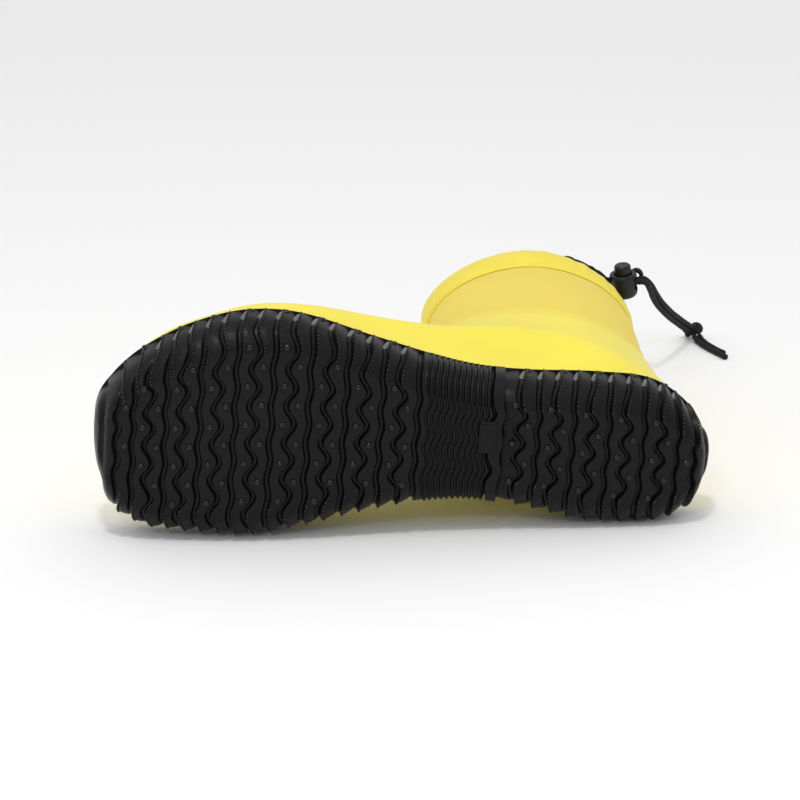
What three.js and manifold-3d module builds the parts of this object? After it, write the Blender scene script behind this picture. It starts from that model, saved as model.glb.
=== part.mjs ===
// Short left deck boot, lying on its inner side with the tread facing the viewer.
// Boot frame, in millimetres: x runs from the toe (-) to the heel (+), y from the tread plane up the leg, and
// z from the inner (-) to the outer (+) side. The whole boot is then turned so that forefoot and heel both touch
// the floor, and moved so that the origin is the middle of its footprint.
import * as THREE from 'three';
import { mergeVertices } from 'three/addons/utils/BufferGeometryUtils.js';
import Module from 'manifold-3d';

const wasm = await Module();
wasm.setup();
const { abs, cos, hypot, max, min, PI, sign, sin, sqrt } = Math;

// ---------------------------------------------------------------- driving dimensions
const GAP = 0.3;
const SOLE_LENGTH = 285;
const SOLE_MIDDLE = 5.6;
const FULLNESS = [[-137, 63], [-85, 61.5], [-53, 55.5], [-12, 40.7], [30, 31], [60, 32], [95, 41.5], [122, 49.5], [148, 47]];
const CENTRE_LINE = [[-137, -8.5], [-100, -6], [-70, -2], [-20, 0], [50, -1.7], [100, -6.7], [148, -9]];
const TOE_SPRING = { from: -40, rise: 14, over: 97 };
const HEEL_SPRING = { from: 110, rise: 3, over: 38 };
const WALL_TOP = [[-137, 41], [-110, 31], [-70, 23], [60, 22], [100, 23], [148, 27]];
const LUG = { height: 3, pitch: 8.2, width: 5.2, edge: 13, waist: [12, 46] };
const CUP = { base: 3.5, wall: 3.2, corner: 13 };
const CASING = { low: 199, top: 227, cordAt: 216 };
const CORD = 3;
const TURN_ON_FLOOR = 0.0737;
const MIDDLE_OF_FOOTPRINT = new THREE.Vector3(9.35, 113.8, -49.65);
const LEG_OFFSET = -0.5;

// Side view of the upper at 17 stations, from the cuff round the heel to the toe. Each row holds the back or bottom
// point (x, y), the front or top point (x, y), the half width, where the widest point lies between the two,
// and how square the front and the back are.
const STATIONS = [
  [153, 225, 38, 225, 37.6, 0.5, 2.0, 2.0],
  [148.5, 190, 37, 190, 37.6, 0.5, 2.0, 2.0],
  [143.5, 152, 34, 154, 37.2, 0.5, 2.0, 2.0],
  [140, 118, 28.5, 130, 36.4, 0.5, 2.0, 2.0],
  [138.5, 92, 19, 111, 35.5, 0.48, 2.05, 2.0],
  [140.5, 66, 6, 99, 35, 0.46, 2.1, 2.1],
  [143, 42, -8, 91, 36, 0.43, 2.15, 2.3],
  [140, 20, -20, 85, 38, 0.4, 2.2, 2.8],
  [119, 9.6, -30, 81, 40, 0.38, 2.2, 3.4],
  [84, 9.1, -40, 77, 43, 0.36, 2.25, 4.0],
  [44, 9.1, -51, 73, 47, 0.34, 2.3, 4.2],
  [2, 9.1, -63, 69, 50.5, 0.33, 2.3, 4.2],
  [-38, 9.1, -78, 63.5, 53, 0.33, 2.3, 4.2],
  [-72, 10.7, -94, 56.5, 50, 0.35, 2.3, 4.0],
  [-100, 14.9, -110, 50, 44, 0.38, 2.3, 3.2],
  [-119, 20.5, -123, 43, 30, 0.42, 2.3, 2.6],
  [-130.5, 32, -130.5, 32, 0, 0.5, 2.3, 2.6],
];
const LAST = STATIONS.length - 1;
const JOIN = 4;

const FOOT_ROWS = 15;
const FOOT_SIDES = 20;

// Layers of the upper, as depths below its outer surface.
const SHELL = [0, 1.8];
const SHAFT = [0, 1.0];
const STIFFENER = [2.1, 3.1];
const LINING = [3.4, 4.6];

// ---------------------------------------------------------------- curves
const clamp = (value, low, high) => min(max(value, low), high);
const mix = (a, b, share) => a + (b - a) * share;
const ease = (value, low, high) => {
  const share = clamp((value - low) / (high - low), 0, 1);
  return share * share * (3 - 2 * share);
};

// A smooth curve through the points [x, y], with each slope taken from the neighbours on both sides.
function through(points, x) {
  const last = points.length - 1;
  let i = 0;
  while (i < last - 1 && x > points[i + 1][0]) i += 1;
  const slope = (k) => {
    const [a, b] = [points[max(k - 1, 0)], points[min(k + 1, last)]];
    return (b[1] - a[1]) / (b[0] - a[0]);
  };
  const [[x0, y0], [x1, y1]] = [points[i], points[i + 1]];
  const step = x1 - x0;
  const q = clamp((x - x0) / step, 0, 1);
  return (2 * q ** 3 - 3 * q ** 2 + 1) * y0 + (q ** 3 - 2 * q ** 2 + q) * step * slope(i)
    + (3 * q ** 2 - 2 * q ** 3) * y1 + (q ** 3 - q ** 2) * step * slope(i + 1);
}

const column = (k) => STATIONS.map((row, i) => [i, row[k]]);
const COLUMNS = STATIONS[0].map((_, k) => column(k));

// Half width of the sole's plan at x, for an outline drawn in by inset.
function halfWidth(x, inset = 0) {
  const across = (x - SOLE_MIDDLE) / (SOLE_LENGTH / 2 - inset);
  return max(through(FULLNESS, x) - 1.1 * inset, 0) * max(1 - across * across, 0) ** 0.4;
}

const centre = (x) => through(CENTRE_LINE, x);
const rise = ({ from, rise: height, over }, distance) => (distance > 0 ? height * (distance / over) ** 2 : 0);
const lift = (x) => rise(TOE_SPRING, TOE_SPRING.from - x) + rise(HEEL_SPRING, x - HEEL_SPRING.from);

// How far a rounded corner of this radius stands in from the wall at a height above its foot.
const roundIn = (radius, height) => {
  const below = clamp(radius - height, 0, radius);
  return radius - sqrt(radius * radius - below * below);
};

// ---------------------------------------------------------------- solids
function solidFrom(points, triangles) {
  const geometry = new THREE.BufferGeometry();
  geometry.setAttribute('position', new THREE.Float32BufferAttribute(points.flatMap((p) => [p.x, p.y, p.z]), 3));
  geometry.setIndex(triangles.flat());
  return toSolid(geometry);
}

function toSolid(geometry) {
  const bare = geometry.clone();
  bare.deleteAttribute('normal');
  bare.deleteAttribute('uv');
  const merged = mergeVertices(bare, 1e-4);
  const vertProperties = new Float32Array(merged.attributes.position.array);
  const triVerts = new Uint32Array(merged.index.array);
  let volume = 0;
  const at = (i) => new THREE.Vector3().fromArray(vertProperties, 3 * i);
  for (let i = 0; i < triVerts.length; i += 3) {
    volume += at(triVerts[i]).dot(at(triVerts[i + 1]).cross(at(triVerts[i + 2])));
  }
  if (volume < 0) {
    for (let i = 0; i < triVerts.length; i += 3) {
      [triVerts[i], triVerts[i + 1]] = [triVerts[i + 1], triVerts[i]];
    }
  }
  return new wasm.Manifold(new wasm.Mesh({ numProp: 3, vertProperties, triVerts }));
}

function toGeometry(solid) {
  const mesh = solid.getMesh();
  const geometry = new THREE.BufferGeometry();
  geometry.setAttribute('position', new THREE.BufferAttribute(new Float32Array(mesh.vertProperties), 3));
  geometry.setIndex(new THREE.BufferAttribute(new Uint32Array(mesh.triVerts), 1));
  geometry.computeVertexNormals();
  return geometry;
}

// Rings of points joined in order. Both ends are closed by a fan, or the last ring runs on to the first.
function loft(rings, joined = false) {
  const count = rings[0].length;
  const points = rings.flat();
  const triangles = [];
  const bands = joined ? rings.length : rings.length - 1;
  for (let j = 0; j < bands; j += 1) {
    const next = ((j + 1) % rings.length) * count;
    for (let i = 0; i < count; i += 1) {
      const [a, b] = [j * count + i, j * count + (i + 1) % count];
      const [c, d] = [next + i, next + (i + 1) % count];
      triangles.push([a, b, d], [a, d, c]);
    }
  }
  if (!joined) {
    for (const [start, flip] of [[0, true], [(rings.length - 1) * count, false]]) {
      const ring = points.slice(start, start + count);
      const middle = ring.reduce((sum, p) => sum.add(p), new THREE.Vector3()).divideScalar(count);
      const hub = points.push(middle) - 1;
      for (let i = 0; i < count; i += 1) {
        const [a, b] = [start + i, start + (i + 1) % count];
        triangles.push(flip ? [hub, b, a] : [hub, a, b]);
      }
    }
  }
  return solidFrom(points, triangles);
}

const box = (low, high) => {
  const size = new THREE.Vector3().subVectors(high, low);
  const geometry = new THREE.BoxGeometry(size.x, size.y, size.z);
  geometry.translate(...new THREE.Vector3().addVectors(low, high).divideScalar(2).toArray());
  return toSolid(geometry);
};

// A solid turned so that its own y axis points along direction, standing at place.
function aim(geometry, place, direction) {
  const turn = new THREE.Quaternion().setFromUnitVectors(new THREE.Vector3(0, 1, 0), direction.clone().normalize());
  return geometry.clone().applyQuaternion(turn).translate(place.x, place.y, place.z);
}

function tube(points, diameter, sides, steps) {
  const section = new THREE.Shape();
  for (let i = 0; i < sides; i += 1) {
    const turn = (2 * PI * i) / sides;
    section[i ? 'lineTo' : 'moveTo'](cos(turn) * diameter / 2, sin(turn) * diameter / 2);
  }
  const path = new THREE.CatmullRomCurve3(points);
  return new THREE.ExtrudeGeometry(section, { steps, bevelEnabled: false, extrudePath: path });
}

// ---------------------------------------------------------------- sole
const CORNER_STEPS = 3;

// A body with the sole's plan: a flat bottom, rounded bottom corners and upright walls to a given top.
function soleBody({ inset, corner, bottom, top, stations = 32 }) {
  const reach = SOLE_LENGTH / 2 - inset;
  const rings = [];
  for (let j = 1; j < stations; j += 1) {
    const x = SOLE_MIDDLE - reach * cos((PI * j) / stations);
    const half = halfWidth(x, inset);
    const radius = min(corner, half * 0.8);
    const low = lift(x) + bottom + roundIn(corner, reach - abs(x - SOLE_MIDDLE));
    const high = top(x);
    const side = [];
    for (let i = 0; i <= CORNER_STEPS; i += 1) {
      const turn = (PI / 2) * (i / CORNER_STEPS);
      side.push([half - radius + radius * sin(turn), min(low + radius * (1 - cos(turn)), high - 0.5)]);
    }
    side.push([half, high]);
    const ring = side.map(([z, y]) => new THREE.Vector3(x, y, centre(x) + z));
    const back = side.map(([z, y]) => new THREE.Vector3(x, y, centre(x) - z)).reverse();
    rings.push([...ring, ...back]);
  }
  return loft(rings);
}

const wallTop = (x) => through(WALL_TOP, x);
const cavity = (extra) => soleBody({
  inset: CUP.wall + extra, corner: CUP.corner - CUP.wall, bottom: LUG.height + CUP.base + extra, top: () => 70,
});
const cupOutside = () => soleBody({ inset: 0, corner: CUP.corner, bottom: LUG.height, top: wallTop });

// Cup with upright wall, and the tread bars below it.
function outsole() {
  let body = cupOutside().subtract(cavity(0));
  const first = Math.ceil((SOLE_MIDDLE - SOLE_LENGTH / 2 + LUG.edge) / LUG.pitch);
  const end = Math.floor((SOLE_MIDDLE + SOLE_LENGTH / 2 - LUG.edge) / LUG.pitch);
  for (let k = first; k <= end; k += 1) {
    const x = k * LUG.pitch;
    if (x > LUG.waist[0] && x < LUG.waist[1]) continue;
    const reach = halfWidth(x) - LUG.edge;
    if (reach < 4) continue;
    const foot = lift(x);
    body = body.add(box(
      new THREE.Vector3(x - LUG.width / 2, foot, centre(x) - reach),
      new THREE.Vector3(x + LUG.width / 2, foot + LUG.height + 1, centre(x) + reach),
    ));
  }
  return body;
}

// A flat layer inside the boot, between two heights above the tread.
const slab = (inset, corner, low, high) => soleBody({
  inset, corner, bottom: low, top: (x) => lift(x) + high, stations: 20,
});

// ---------------------------------------------------------------- upper
function station(s, depth) {
  const [bx, by, fx, fy, half, wide, front, back] = COLUMNS.map((points) => through(points, s));
  const along = 0.02;
  const side = (k) => {
    const [a, b] = [max(s - along, 0), min(s + along, LAST)];
    return new THREE.Vector2(
      through(COLUMNS[k], b) - through(COLUMNS[k], a),
      through(COLUMNS[k + 1], b) - through(COLUMNS[k + 1], a),
    ).normalize();
  };
  const bottom = new THREE.Vector2(bx, by);
  const top = new THREE.Vector2(fx, fy);
  const fade = min(depth, 0.4 * bottom.distanceTo(top));
  const across = top.clone().sub(bottom);
  for (const [point, k, facing] of [[bottom, 0, 1], [top, 2, -1]]) {
    const normal = new THREE.Vector2(-side(k).y, side(k).x);
    if (normal.dot(across) * facing < 0) normal.negate();
    point.addScaledVector(normal, fade);
  }
  const tip = ease(s, LAST - 1, LAST) * depth;
  bottom.x += tip;
  top.x += tip;
  return { bottom, top, half: max(half - depth, 0), wide, front, back };
}

const softMin = (a, b, reach) => {
  const share = clamp(0.5 + 0.5 * (b - a) / reach, 0, 1);
  return mix(b, a, share) - reach * share * (1 - share);
};

// Point of the upper at station s and angle turn, depth below its outer surface. Angle 0 is the back or bottom.
function upperPoint(s, turn, depth) {
  const at = station(s, depth);
  const share = (1 - cos(turn)) / 2;
  const x = mix(at.bottom.x, at.top.x, share);
  const y = mix(at.bottom.y, at.top.y, share);
  const back = share < at.wide;
  const out = back ? 1 - share / at.wide : (share - at.wide) / (1 - at.wide);
  const power = back ? at.back : at.front;
  const free = at.half * (1 - clamp(out, 0, 1) ** power) ** (1 / power);
  const inCup = CUP.wall + GAP + depth;
  const corner = roundIn(CUP.corner - CUP.wall, y - lift(x) - LUG.height - CUP.base);
  const held = halfWidth(x, inCup) - corner + 16 * ease(y, 20, 95) + 60 * ease(y, 60, 120);
  const width = y > 120 ? free : max(softMin(free, held, 3), 0);
  const middle = mix(centre(x), LEG_OFFSET, ease(y, 20, 95));
  return new THREE.Vector3(x, y, middle + width * sign(sin(turn)));
}

// A layer of the upper between two stations and two depths, closed round its edges.
function layer([outer, inner], from, to, rows, sides) {
  const closed = to === LAST;
  const rings = (depth) => Array.from({ length: rows + (closed ? 0 : 1) }, (_, j) => {
    const s = mix(from, to, j / rows);
    return Array.from({ length: sides }, (_, i) => upperPoint(s, (2 * PI * (i + 0.5)) / sides, depth));
  });
  if (!closed) return loft([...rings(outer), ...rings(inner).reverse()], true);
  const pole = (depth) => upperPoint(LAST, 0, depth);
  const all = [...rings(outer), ...rings(inner)];
  const points = all.flat();
  const triangles = [];
  const band = (a, b) => {
    for (let i = 0; i < sides; i += 1) {
      const next = (i + 1) % sides;
      triangles.push([a * sides + i, a * sides + next, b * sides + next], [a * sides + i, b * sides + next, b * sides + i]);
    }
  };
  for (let j = 0; j < rows - 1; j += 1) {
    band(j, j + 1);
    band(rows + j + 1, rows + j);
  }
  band(rows, 0);
  for (const [start, depth, flip] of [[rows - 1, outer, false], [2 * rows - 1, inner, true]]) {
    const hub = points.push(pole(depth)) - 1;
    for (let i = 0; i < sides; i += 1) {
      const [a, b] = [start * sides + i, start * sides + (i + 1) % sides];
      triangles.push(flip ? [b, a, hub] : [a, b, hub]);
    }
  }
  return solidFrom(points, triangles);
}

const footLayer = (depths) => layer(depths, JOIN, LAST, FOOT_ROWS, FOOT_SIDES);

// The room inside the foot at a depth below the upper's outer surface.
function footRoom(depth) {
  const rings = Array.from({ length: FOOT_ROWS }, (_, j) => {
    const s = mix(JOIN, LAST, j / FOOT_ROWS);
    return Array.from({ length: FOOT_SIDES }, (_, i) => upperPoint(s, (2 * PI * (i + 0.5)) / FOOT_SIDES, depth));
  });
  return loft(rings);
}

// A solid cut clear of these layers of the foot, without the crumbs that this leaves.
function clearOf(solid, ...layers) {
  const parts = layers.reduce((rest, depths) => rest.subtract(footLayer(depths)), solid).decompose();
  return parts.reduce((best, part) => (part.volume() > best.volume() ? part : best));
}
const THICK_SHELL = [SHELL[0], SHELL[1] + GAP];
const THICK_LINING = [LINING[0] - GAP, LINING[1] + GAP];

// The foot shell is open below, where its edge turns in under the insole board.
function footShell() {
  const cup = cupOutside().subtract(cavity(GAP));
  const opening = soleBody({ inset: 18, corner: 4, bottom: 0, top: (x) => lift(x) + 14 });
  return footLayer(SHELL).subtract(cup).subtract(opening).subtract(cavityFloor());
}

// Everything below the inside floor of the cup.
const cavityFloor = () => soleBody({
  inset: 1, corner: 2, bottom: 0, top: (x) => lift(x) + LUG.height + CUP.base + 2.6,
});

const stiffener = (low, high) => clearOf(footLayer(STIFFENER).intersect(box(low, high)), THICK_SHELL, THICK_LINING);
const toePuff = () => stiffener(new THREE.Vector3(-140, 20, -80), new THREE.Vector3(-96, 80, 80));
const heelCounter = () => stiffener(new THREE.Vector3(92, 22, -80), new THREE.Vector3(160, 66, 80));
const shaft = () => layer(SHAFT, 0.55, JOIN - 0.03, 5, 24);
const legLining = () => layer(LINING, 0.7, JOIN - 0.03, 5, 24);
const footLining = () => clearOf(footLayer(LINING), THICK_SHELL);

// Tape glued over the back seam, inside the shaft.
function seamTape() {
  const [outer, inner] = [1.3, 2.2];
  const half = 0.14;
  const rings = [];
  for (let j = 0; j <= 10; j += 1) {
    const s = mix(0.75, 3.9, j / 10);
    rings.push([
      upperPoint(s, -half, outer), upperPoint(s, half, outer), upperPoint(s, half, inner), upperPoint(s, -half, inner),
    ]);
  }
  return loft(rings);
}

// ---------------------------------------------------------------- cuff
const cuffPoint = (turn, y, depth) => {
  const point = upperPoint(max((225 - y) / 35, 0), turn, depth);
  return new THREE.Vector3(point.x, y, point.z);
};

// Section of the folded casing, as height and depth below the shaft's surface, outside first.
const CASING_SECTION = [
  [199, -1.4], [207, -4.2], [218, -4.4], [224.6, -2], [226.4, 1.2], [223.6, 4.7], [203, 4.6],
  [203, 3.6], [221.6, 3.8], [225.2, 1.2], [222.4, -1.6], [216, -3.4], [207, -3.2], [199, -0.4],
];
const EYELET_TURNS = [2 * PI * 0.15, 2 * PI * 0.19];
const EYELET = { hole: 2.4, barrel: 3.4, flange: 5, y: 224, depth: -1.6 };

function eyeletPlace(turn) {
  const place = cuffPoint(turn, EYELET.y, EYELET.depth);
  const inside = cuffPoint(turn, EYELET.y, 6);
  const axis = place.clone().sub(inside).normalize().multiplyScalar(0.62);
  axis.y = 0.78;
  return { place, axis: axis.normalize() };
}

function casing() {
  const sides = 24;
  const rings = Array.from({ length: sides }, (_, i) => {
    const turn = (2 * PI * (i + 0.5)) / sides;
    return CASING_SECTION.map(([y, depth]) => cuffPoint(turn, y, depth));
  });
  let body = loft(rings, true);
  for (const turn of EYELET_TURNS) {
    const { place, axis } = eyeletPlace(turn);
    const hole = new THREE.CylinderGeometry(EYELET.barrel + GAP, EYELET.barrel + GAP, 10, 12);
    body = body.subtract(toSolid(aim(hole, place, axis)));
    const seat = new THREE.CylinderGeometry(EYELET.flange + GAP, EYELET.flange + GAP, 4, 12);
    body = body.subtract(toSolid(aim(seat, place.clone().addScaledVector(axis, 1.6), axis)));
  }
  return body;
}

function eyelet(turn) {
  const { place, axis } = eyeletPlace(turn);
  const { hole, barrel, flange } = EYELET;
  const outline = [[hole, -2], [barrel, -2], [barrel, 0], [flange, 0], [flange, 0.6], [hole + 0.6, 1.2], [hole, 0.6]];
  const profile = outline.map(([r, y]) => new THREE.Vector2(r, y));
  return aim(new THREE.LatheGeometry([...profile, profile[0]], 12), place, axis);
}

// The stretch of cord hidden in the casing, from one eyelet right round to the other.
function hiddenCord() {
  const [first, last] = [EYELET_TURNS[1] + 0.1, EYELET_TURNS[0] + 2 * PI - 0.1];
  const points = Array.from({ length: 33 }, (_, i) => cuffPoint(mix(first, last, i / 32), CASING.cordAt, 0.2));
  return tube(points, CORD, 8, 32);
}


// ---------------------------------------------------------------- drawcord ends and cord lock, in the final frame
const LOCK_AT = new THREE.Vector3(143.2, 123.7, 58.7);
const CORD_WAY = new THREE.Vector3(0.93, -0.33, 0.07).normalize();
const LOCK_AXIS = new THREE.Vector3(-0.146, -0.135, 0.977);
LOCK_AXIS.addScaledVector(CORD_WAY, -LOCK_AXIS.dot(CORD_WAY)).normalize();
const ACROSS = new THREE.Vector3().crossVectors(CORD_WAY, LOCK_AXIS);
const PAIR_TURNED = new THREE.Vector3(-0.59, -0.18, -0.79);
const STRAND_OFFSET = 1.75;
const LOCK = {
  radius: 7.6, low: -9.4, top: 4.8, bore: 4.95, plunger: 4.65, proud: 5.2, travel: 3, slotHigh: 1.8, slotWide: 3.7,
};

// The way of both strands from the eyelets to the knot; its straight stretch runs through the lock.
const alongCord = (distance) => LOCK_AT.clone().addScaledVector(CORD_WAY, distance).toArray();
const STRANDS = [
  ...[-8.8, -4, 0, 4, 8, 12].map(alongCord), [158.8, 124.2, 54.6], [163.2, 132.6, 47.6], [168.3, 141.8, 40.6],
  [174, 150.6, 34.2], [180.4, 162.2, 27.6], [187.7, 175.8, 20.8], [194.2, 188.4, 14.8], [199.4, 198.6, 10.2], [202, 203.6, 7.8],
];
const START_A = [[123.3, 111.4, 72.1], [124.3, 113.9, 72.7], [127.1, 117.8, 70.2], [131.2, 122.2, 64.6]];
const START_B = [[110.5, 111.4, 77.9], [112, 114.6, 79.2], [117.4, 119.4, 77], [124.8, 124.4, 70.8], [130.8, 127.6, 63.6]];
const KNOT_AT = new THREE.Vector3(204.9, 208.9, 5.05);
const KNOT_RADIUS = 5.8;
const TAIL = [
  [206.3, 202.2, 3.5], [207.2, 197.2, 2], [208.6, 188, 1.6], [210.7, 178.5, 1.6], [213.1, 169.6, 1.6], [215.4, 161.6, 1.6],
];
const vectors = (points, offset = new THREE.Vector3()) => points.map((p) => new THREE.Vector3(...p).add(offset));

// One strand of the pair. They lie side by side, across the lock inside it and one above the other beyond it.
function strand(start, side) {
  const middle = vectors(STRANDS);
  return [...vectors(start), ...middle.map((point, i) => {
    const way = middle[min(i + 1, middle.length - 1)].clone().sub(middle[max(i - 1, 0)]).normalize();
    const beside = ACROSS.clone().lerp(PAIR_TURNED, ease(i, 4, 8));
    beside.addScaledVector(way, -beside.dot(way)).setLength(side * STRAND_OFFSET);
    return point.clone().add(beside);
  })];
}

// Lock frame: y along the plunger, x along the cord.
function inLock(geometry) {
  const turn = new THREE.Matrix4().makeBasis(CORD_WAY, LOCK_AXIS, ACROSS);
  return geometry.clone().applyMatrix4(turn).translate(LOCK_AT.x, LOCK_AT.y, LOCK_AT.z);
}

const lathe = (points, sides) => new THREE.LatheGeometry(points.map(([r, y]) => new THREE.Vector2(r, y)), sides);
const slot = (high, low, wide) => {
  const geometry = new THREE.BoxGeometry(30, high - low, 2 * wide);
  return geometry.translate(0, (high + low) / 2, 0);
};

function lockBody() {
  const { radius, low, top, bore, travel, slotHigh, slotWide } = LOCK;
  const shell = lathe([
    [0, low], [radius - 3, low], [radius - 1, low + 1], [radius, low + 3.5], [radius, top - 1], [radius - 1, top],
    [bore, top], [bore, low + 1.2], [0, low + 1.2],
  ], 20);
  return toSolid(inLock(shell)).subtract(toSolid(inLock(slot(slotHigh, -slotHigh - travel, slotWide))));
}

function lockPlunger() {
  const { top, plunger, proud, travel, slotHigh, slotWide } = LOCK;
  const stem = lathe([
    [0, -3.1], [plunger, -3.1], [plunger, top + proud - 1.2], [plunger - 1.2, top + proud], [0, top + proud],
  ], 20);
  const window = slot(slotHigh + travel, -slotHigh, slotWide);
  return toSolid(inLock(stem)).subtract(toSolid(inLock(window)));
}

function lockSpring() {
  const { low } = LOCK;
  const [bottom, top, turns, radius, wire] = [low + 1.7, -3.7, 3, 3.1, 0.7];
  const points = Array.from({ length: turns * 10 + 1 }, (_, i) => {
    const turn = (2 * PI * i) / 10;
    return new THREE.Vector3(radius * cos(turn), mix(bottom, top, i / (turns * 10)), radius * sin(turn));
  });
  return inLock(tube(points, wire, 5, turns * 10));
}

function knot() {
  const geometry = new THREE.SphereGeometry(KNOT_RADIUS, 16, 10);
  geometry.scale(1, 1, 0.86);
  return geometry.translate(KNOT_AT.x, KNOT_AT.y, KNOT_AT.z);
}

// ---------------------------------------------------------------- assembly
const FINISH = {
  rubber: { color: 0x1b1b1c, roughness: 0.55, metalness: 0 },
  shell: { color: 0xf4e43a, roughness: 0.4, metalness: 0 },
  cloth: { color: 0xf0dc5a, roughness: 0.7, metalness: 0 },
  lining: { color: 0xd9d6cc, roughness: 0.9, metalness: 0 },
  board: { color: 0xb9a27c, roughness: 0.9, metalness: 0 },
  foam: { color: 0x4a4a4e, roughness: 0.9, metalness: 0 },
  plastic: { color: 0x1c1c1e, roughness: 0.45, metalness: 0 },
  cord: { color: 0x202022, roughness: 0.85, metalness: 0 },
  steel: { color: 0xb8bcc0, roughness: 0.3, metalness: 1 },
};

function node(name, shape, finish) {
  const geometry = shape.isBufferGeometry ? shape : toGeometry(shape);
  const mesh = new THREE.Mesh(geometry, new THREE.MeshStandardMaterial(FINISH[finish]));
  mesh.name = name;
  return mesh;
}

const boot = new THREE.Group();
boot.add(
  node('outsole', outsole(), 'rubber'),
  node('sole_filler', slab(4, 8, 6.8, 8.7).intersect(cavity(GAP)), 'foam'),
  node('insole_board', clearOf(slab(8, 2, 11.2, 12.2).intersect(footRoom(SHELL[1] + GAP)), THICK_SHELL, THICK_LINING), 'board'),
  node('footbed_foam', clearOf(slab(6, 2, 14.2, 18.2).intersect(footRoom(LINING[1] + GAP)), THICK_LINING), 'foam'),
  node('footbed_cover', clearOf(slab(6, 2, 18.6, 19.4).intersect(footRoom(LINING[1] + GAP)), THICK_LINING), 'lining'),
  node('foot_shell', footShell(), 'shell'),
  node('toe_puff', toePuff(), 'board'),
  node('heel_counter', heelCounter(), 'board'),
  node('lining_foot', footLining(), 'lining'),
  node('lining_leg', legLining(), 'lining'),
  node('shaft', shaft(), 'cloth'),
  node('seam_tape', seamTape(), 'cloth'),
  node('cuff_casing', casing(), 'cloth'),
  node('casing_cord', hiddenCord(), 'cord'),
  node('eyelet_rear', eyelet(EYELET_TURNS[0]), 'plastic'),
  node('eyelet_front', eyelet(EYELET_TURNS[1]), 'plastic'),
);
boot.rotation.y = TURN_ON_FLOOR;
boot.position.copy(MIDDLE_OF_FOOTPRINT).negate();

const drawcord = new THREE.Group();
drawcord.add(
  node('cord_strand_a', tube(strand(START_A, 1), CORD, 8, 44), 'cord'),
  node('cord_strand_b', tube(strand(START_B, -1), CORD, 8, 44), 'cord'),
  node('cord_knot', knot(), 'cord'),
  node('cord_tail_a', tube(vectors(TAIL, new THREE.Vector3(-1.65, -0.4, 0)), CORD, 8, 14), 'cord'),
  node('cord_tail_b', tube(vectors(TAIL.slice(0, -1), new THREE.Vector3(1.65, 0.4, 0)), CORD, 8, 12), 'cord'),
  node('lock_body', lockBody(), 'plastic'),
  node('lock_plunger', lockPlunger(), 'plastic'),
  node('lock_spring', lockSpring(), 'steel'),
);

const deckBoot = new THREE.Group();
deckBoot.add(boot, drawcord);
export default deckBoot;
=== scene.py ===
import bmesh
import bpy
import numpy as np
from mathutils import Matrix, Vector


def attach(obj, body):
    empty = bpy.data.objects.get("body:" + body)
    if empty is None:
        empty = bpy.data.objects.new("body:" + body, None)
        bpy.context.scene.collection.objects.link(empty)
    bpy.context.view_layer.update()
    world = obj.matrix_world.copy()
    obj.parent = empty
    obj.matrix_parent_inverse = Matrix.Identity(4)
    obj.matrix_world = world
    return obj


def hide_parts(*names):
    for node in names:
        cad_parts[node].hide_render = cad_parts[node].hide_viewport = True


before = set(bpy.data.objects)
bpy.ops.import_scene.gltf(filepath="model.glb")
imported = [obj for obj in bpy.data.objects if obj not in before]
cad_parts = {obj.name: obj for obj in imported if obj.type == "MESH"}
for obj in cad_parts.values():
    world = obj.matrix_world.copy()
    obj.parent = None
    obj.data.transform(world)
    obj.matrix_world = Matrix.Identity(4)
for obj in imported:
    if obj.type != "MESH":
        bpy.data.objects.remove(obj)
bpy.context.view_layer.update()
MM = 0.001


# ---- Studio ----------------------------------------------------------------------------------------------
# A pale seamless floor, two small softboxes, one overhead and one in front of the tread, and an even
# surround. The camera looks down at the tread from a little to the toe side, through a long lens.
VIEW_TARGET = Vector((-0.00935, -0.1138, 0.06665))
VIEW_WAY = Vector((0.1083, 0.9502, -0.2924)).normalized()
VIEW_DISTANCE = 1.0
FLOOR_SIDE = 14.0

camera_data = bpy.data.cameras.new("camera")
camera_data.lens = 100.35
camera_data.sensor_width = 36
camera = bpy.data.objects.new("camera", camera_data)
bpy.context.scene.collection.objects.link(camera)
camera.location = VIEW_TARGET - VIEW_WAY * VIEW_DISTANCE
camera.rotation_euler = VIEW_WAY.to_track_quat("-Z", "Y").to_euler()
bpy.context.scene.camera = camera
bpy.context.scene.view_settings.view_transform = "Standard"


def put_in_scene(name, data):
    """A new object at the origin that holds this data."""
    made = bpy.data.objects.new(name, data)
    bpy.context.scene.collection.objects.link(made)
    return made


def add(tree, kind, **inputs):
    """A new node of this kind, with each input, named with _ for a space, set to a value or joined to a
    socket."""
    made = tree.nodes.new(kind)
    for name, value in inputs.items():
        socket = made.inputs[int(name[1:]) if name[1:].isdigit() else name.replace("_", " ")]
        if isinstance(value, bpy.types.NodeSocket):
            tree.links.new(value, socket)
        else:
            socket.default_value = value
    return made


def new_material(name):
    """A new material, with its node tree and its shader."""
    material = bpy.data.materials.new(name)
    material.use_nodes = True
    return material, material.node_tree, material.node_tree.nodes["Principled BSDF"]


def softbox(name, place, aim, size, power):
    """A square area light at place that shines towards aim."""
    data = bpy.data.lights.new(name, "AREA")
    data.size = size
    data.energy = power
    light = put_in_scene(name, data)
    light.location = place
    light.rotation_euler = (Vector(aim) - Vector(place)).to_track_quat("-Z", "Y").to_euler()


softbox("softbox_overhead", (-0.15, -0.55, 1.3), (0, -0.1, 0.05), 0.14, 4.2)
softbox("softbox_front", (-0.4, -1.3, 1.0), (0, -0.12, 0.05), 0.08, 1.6)


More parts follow.
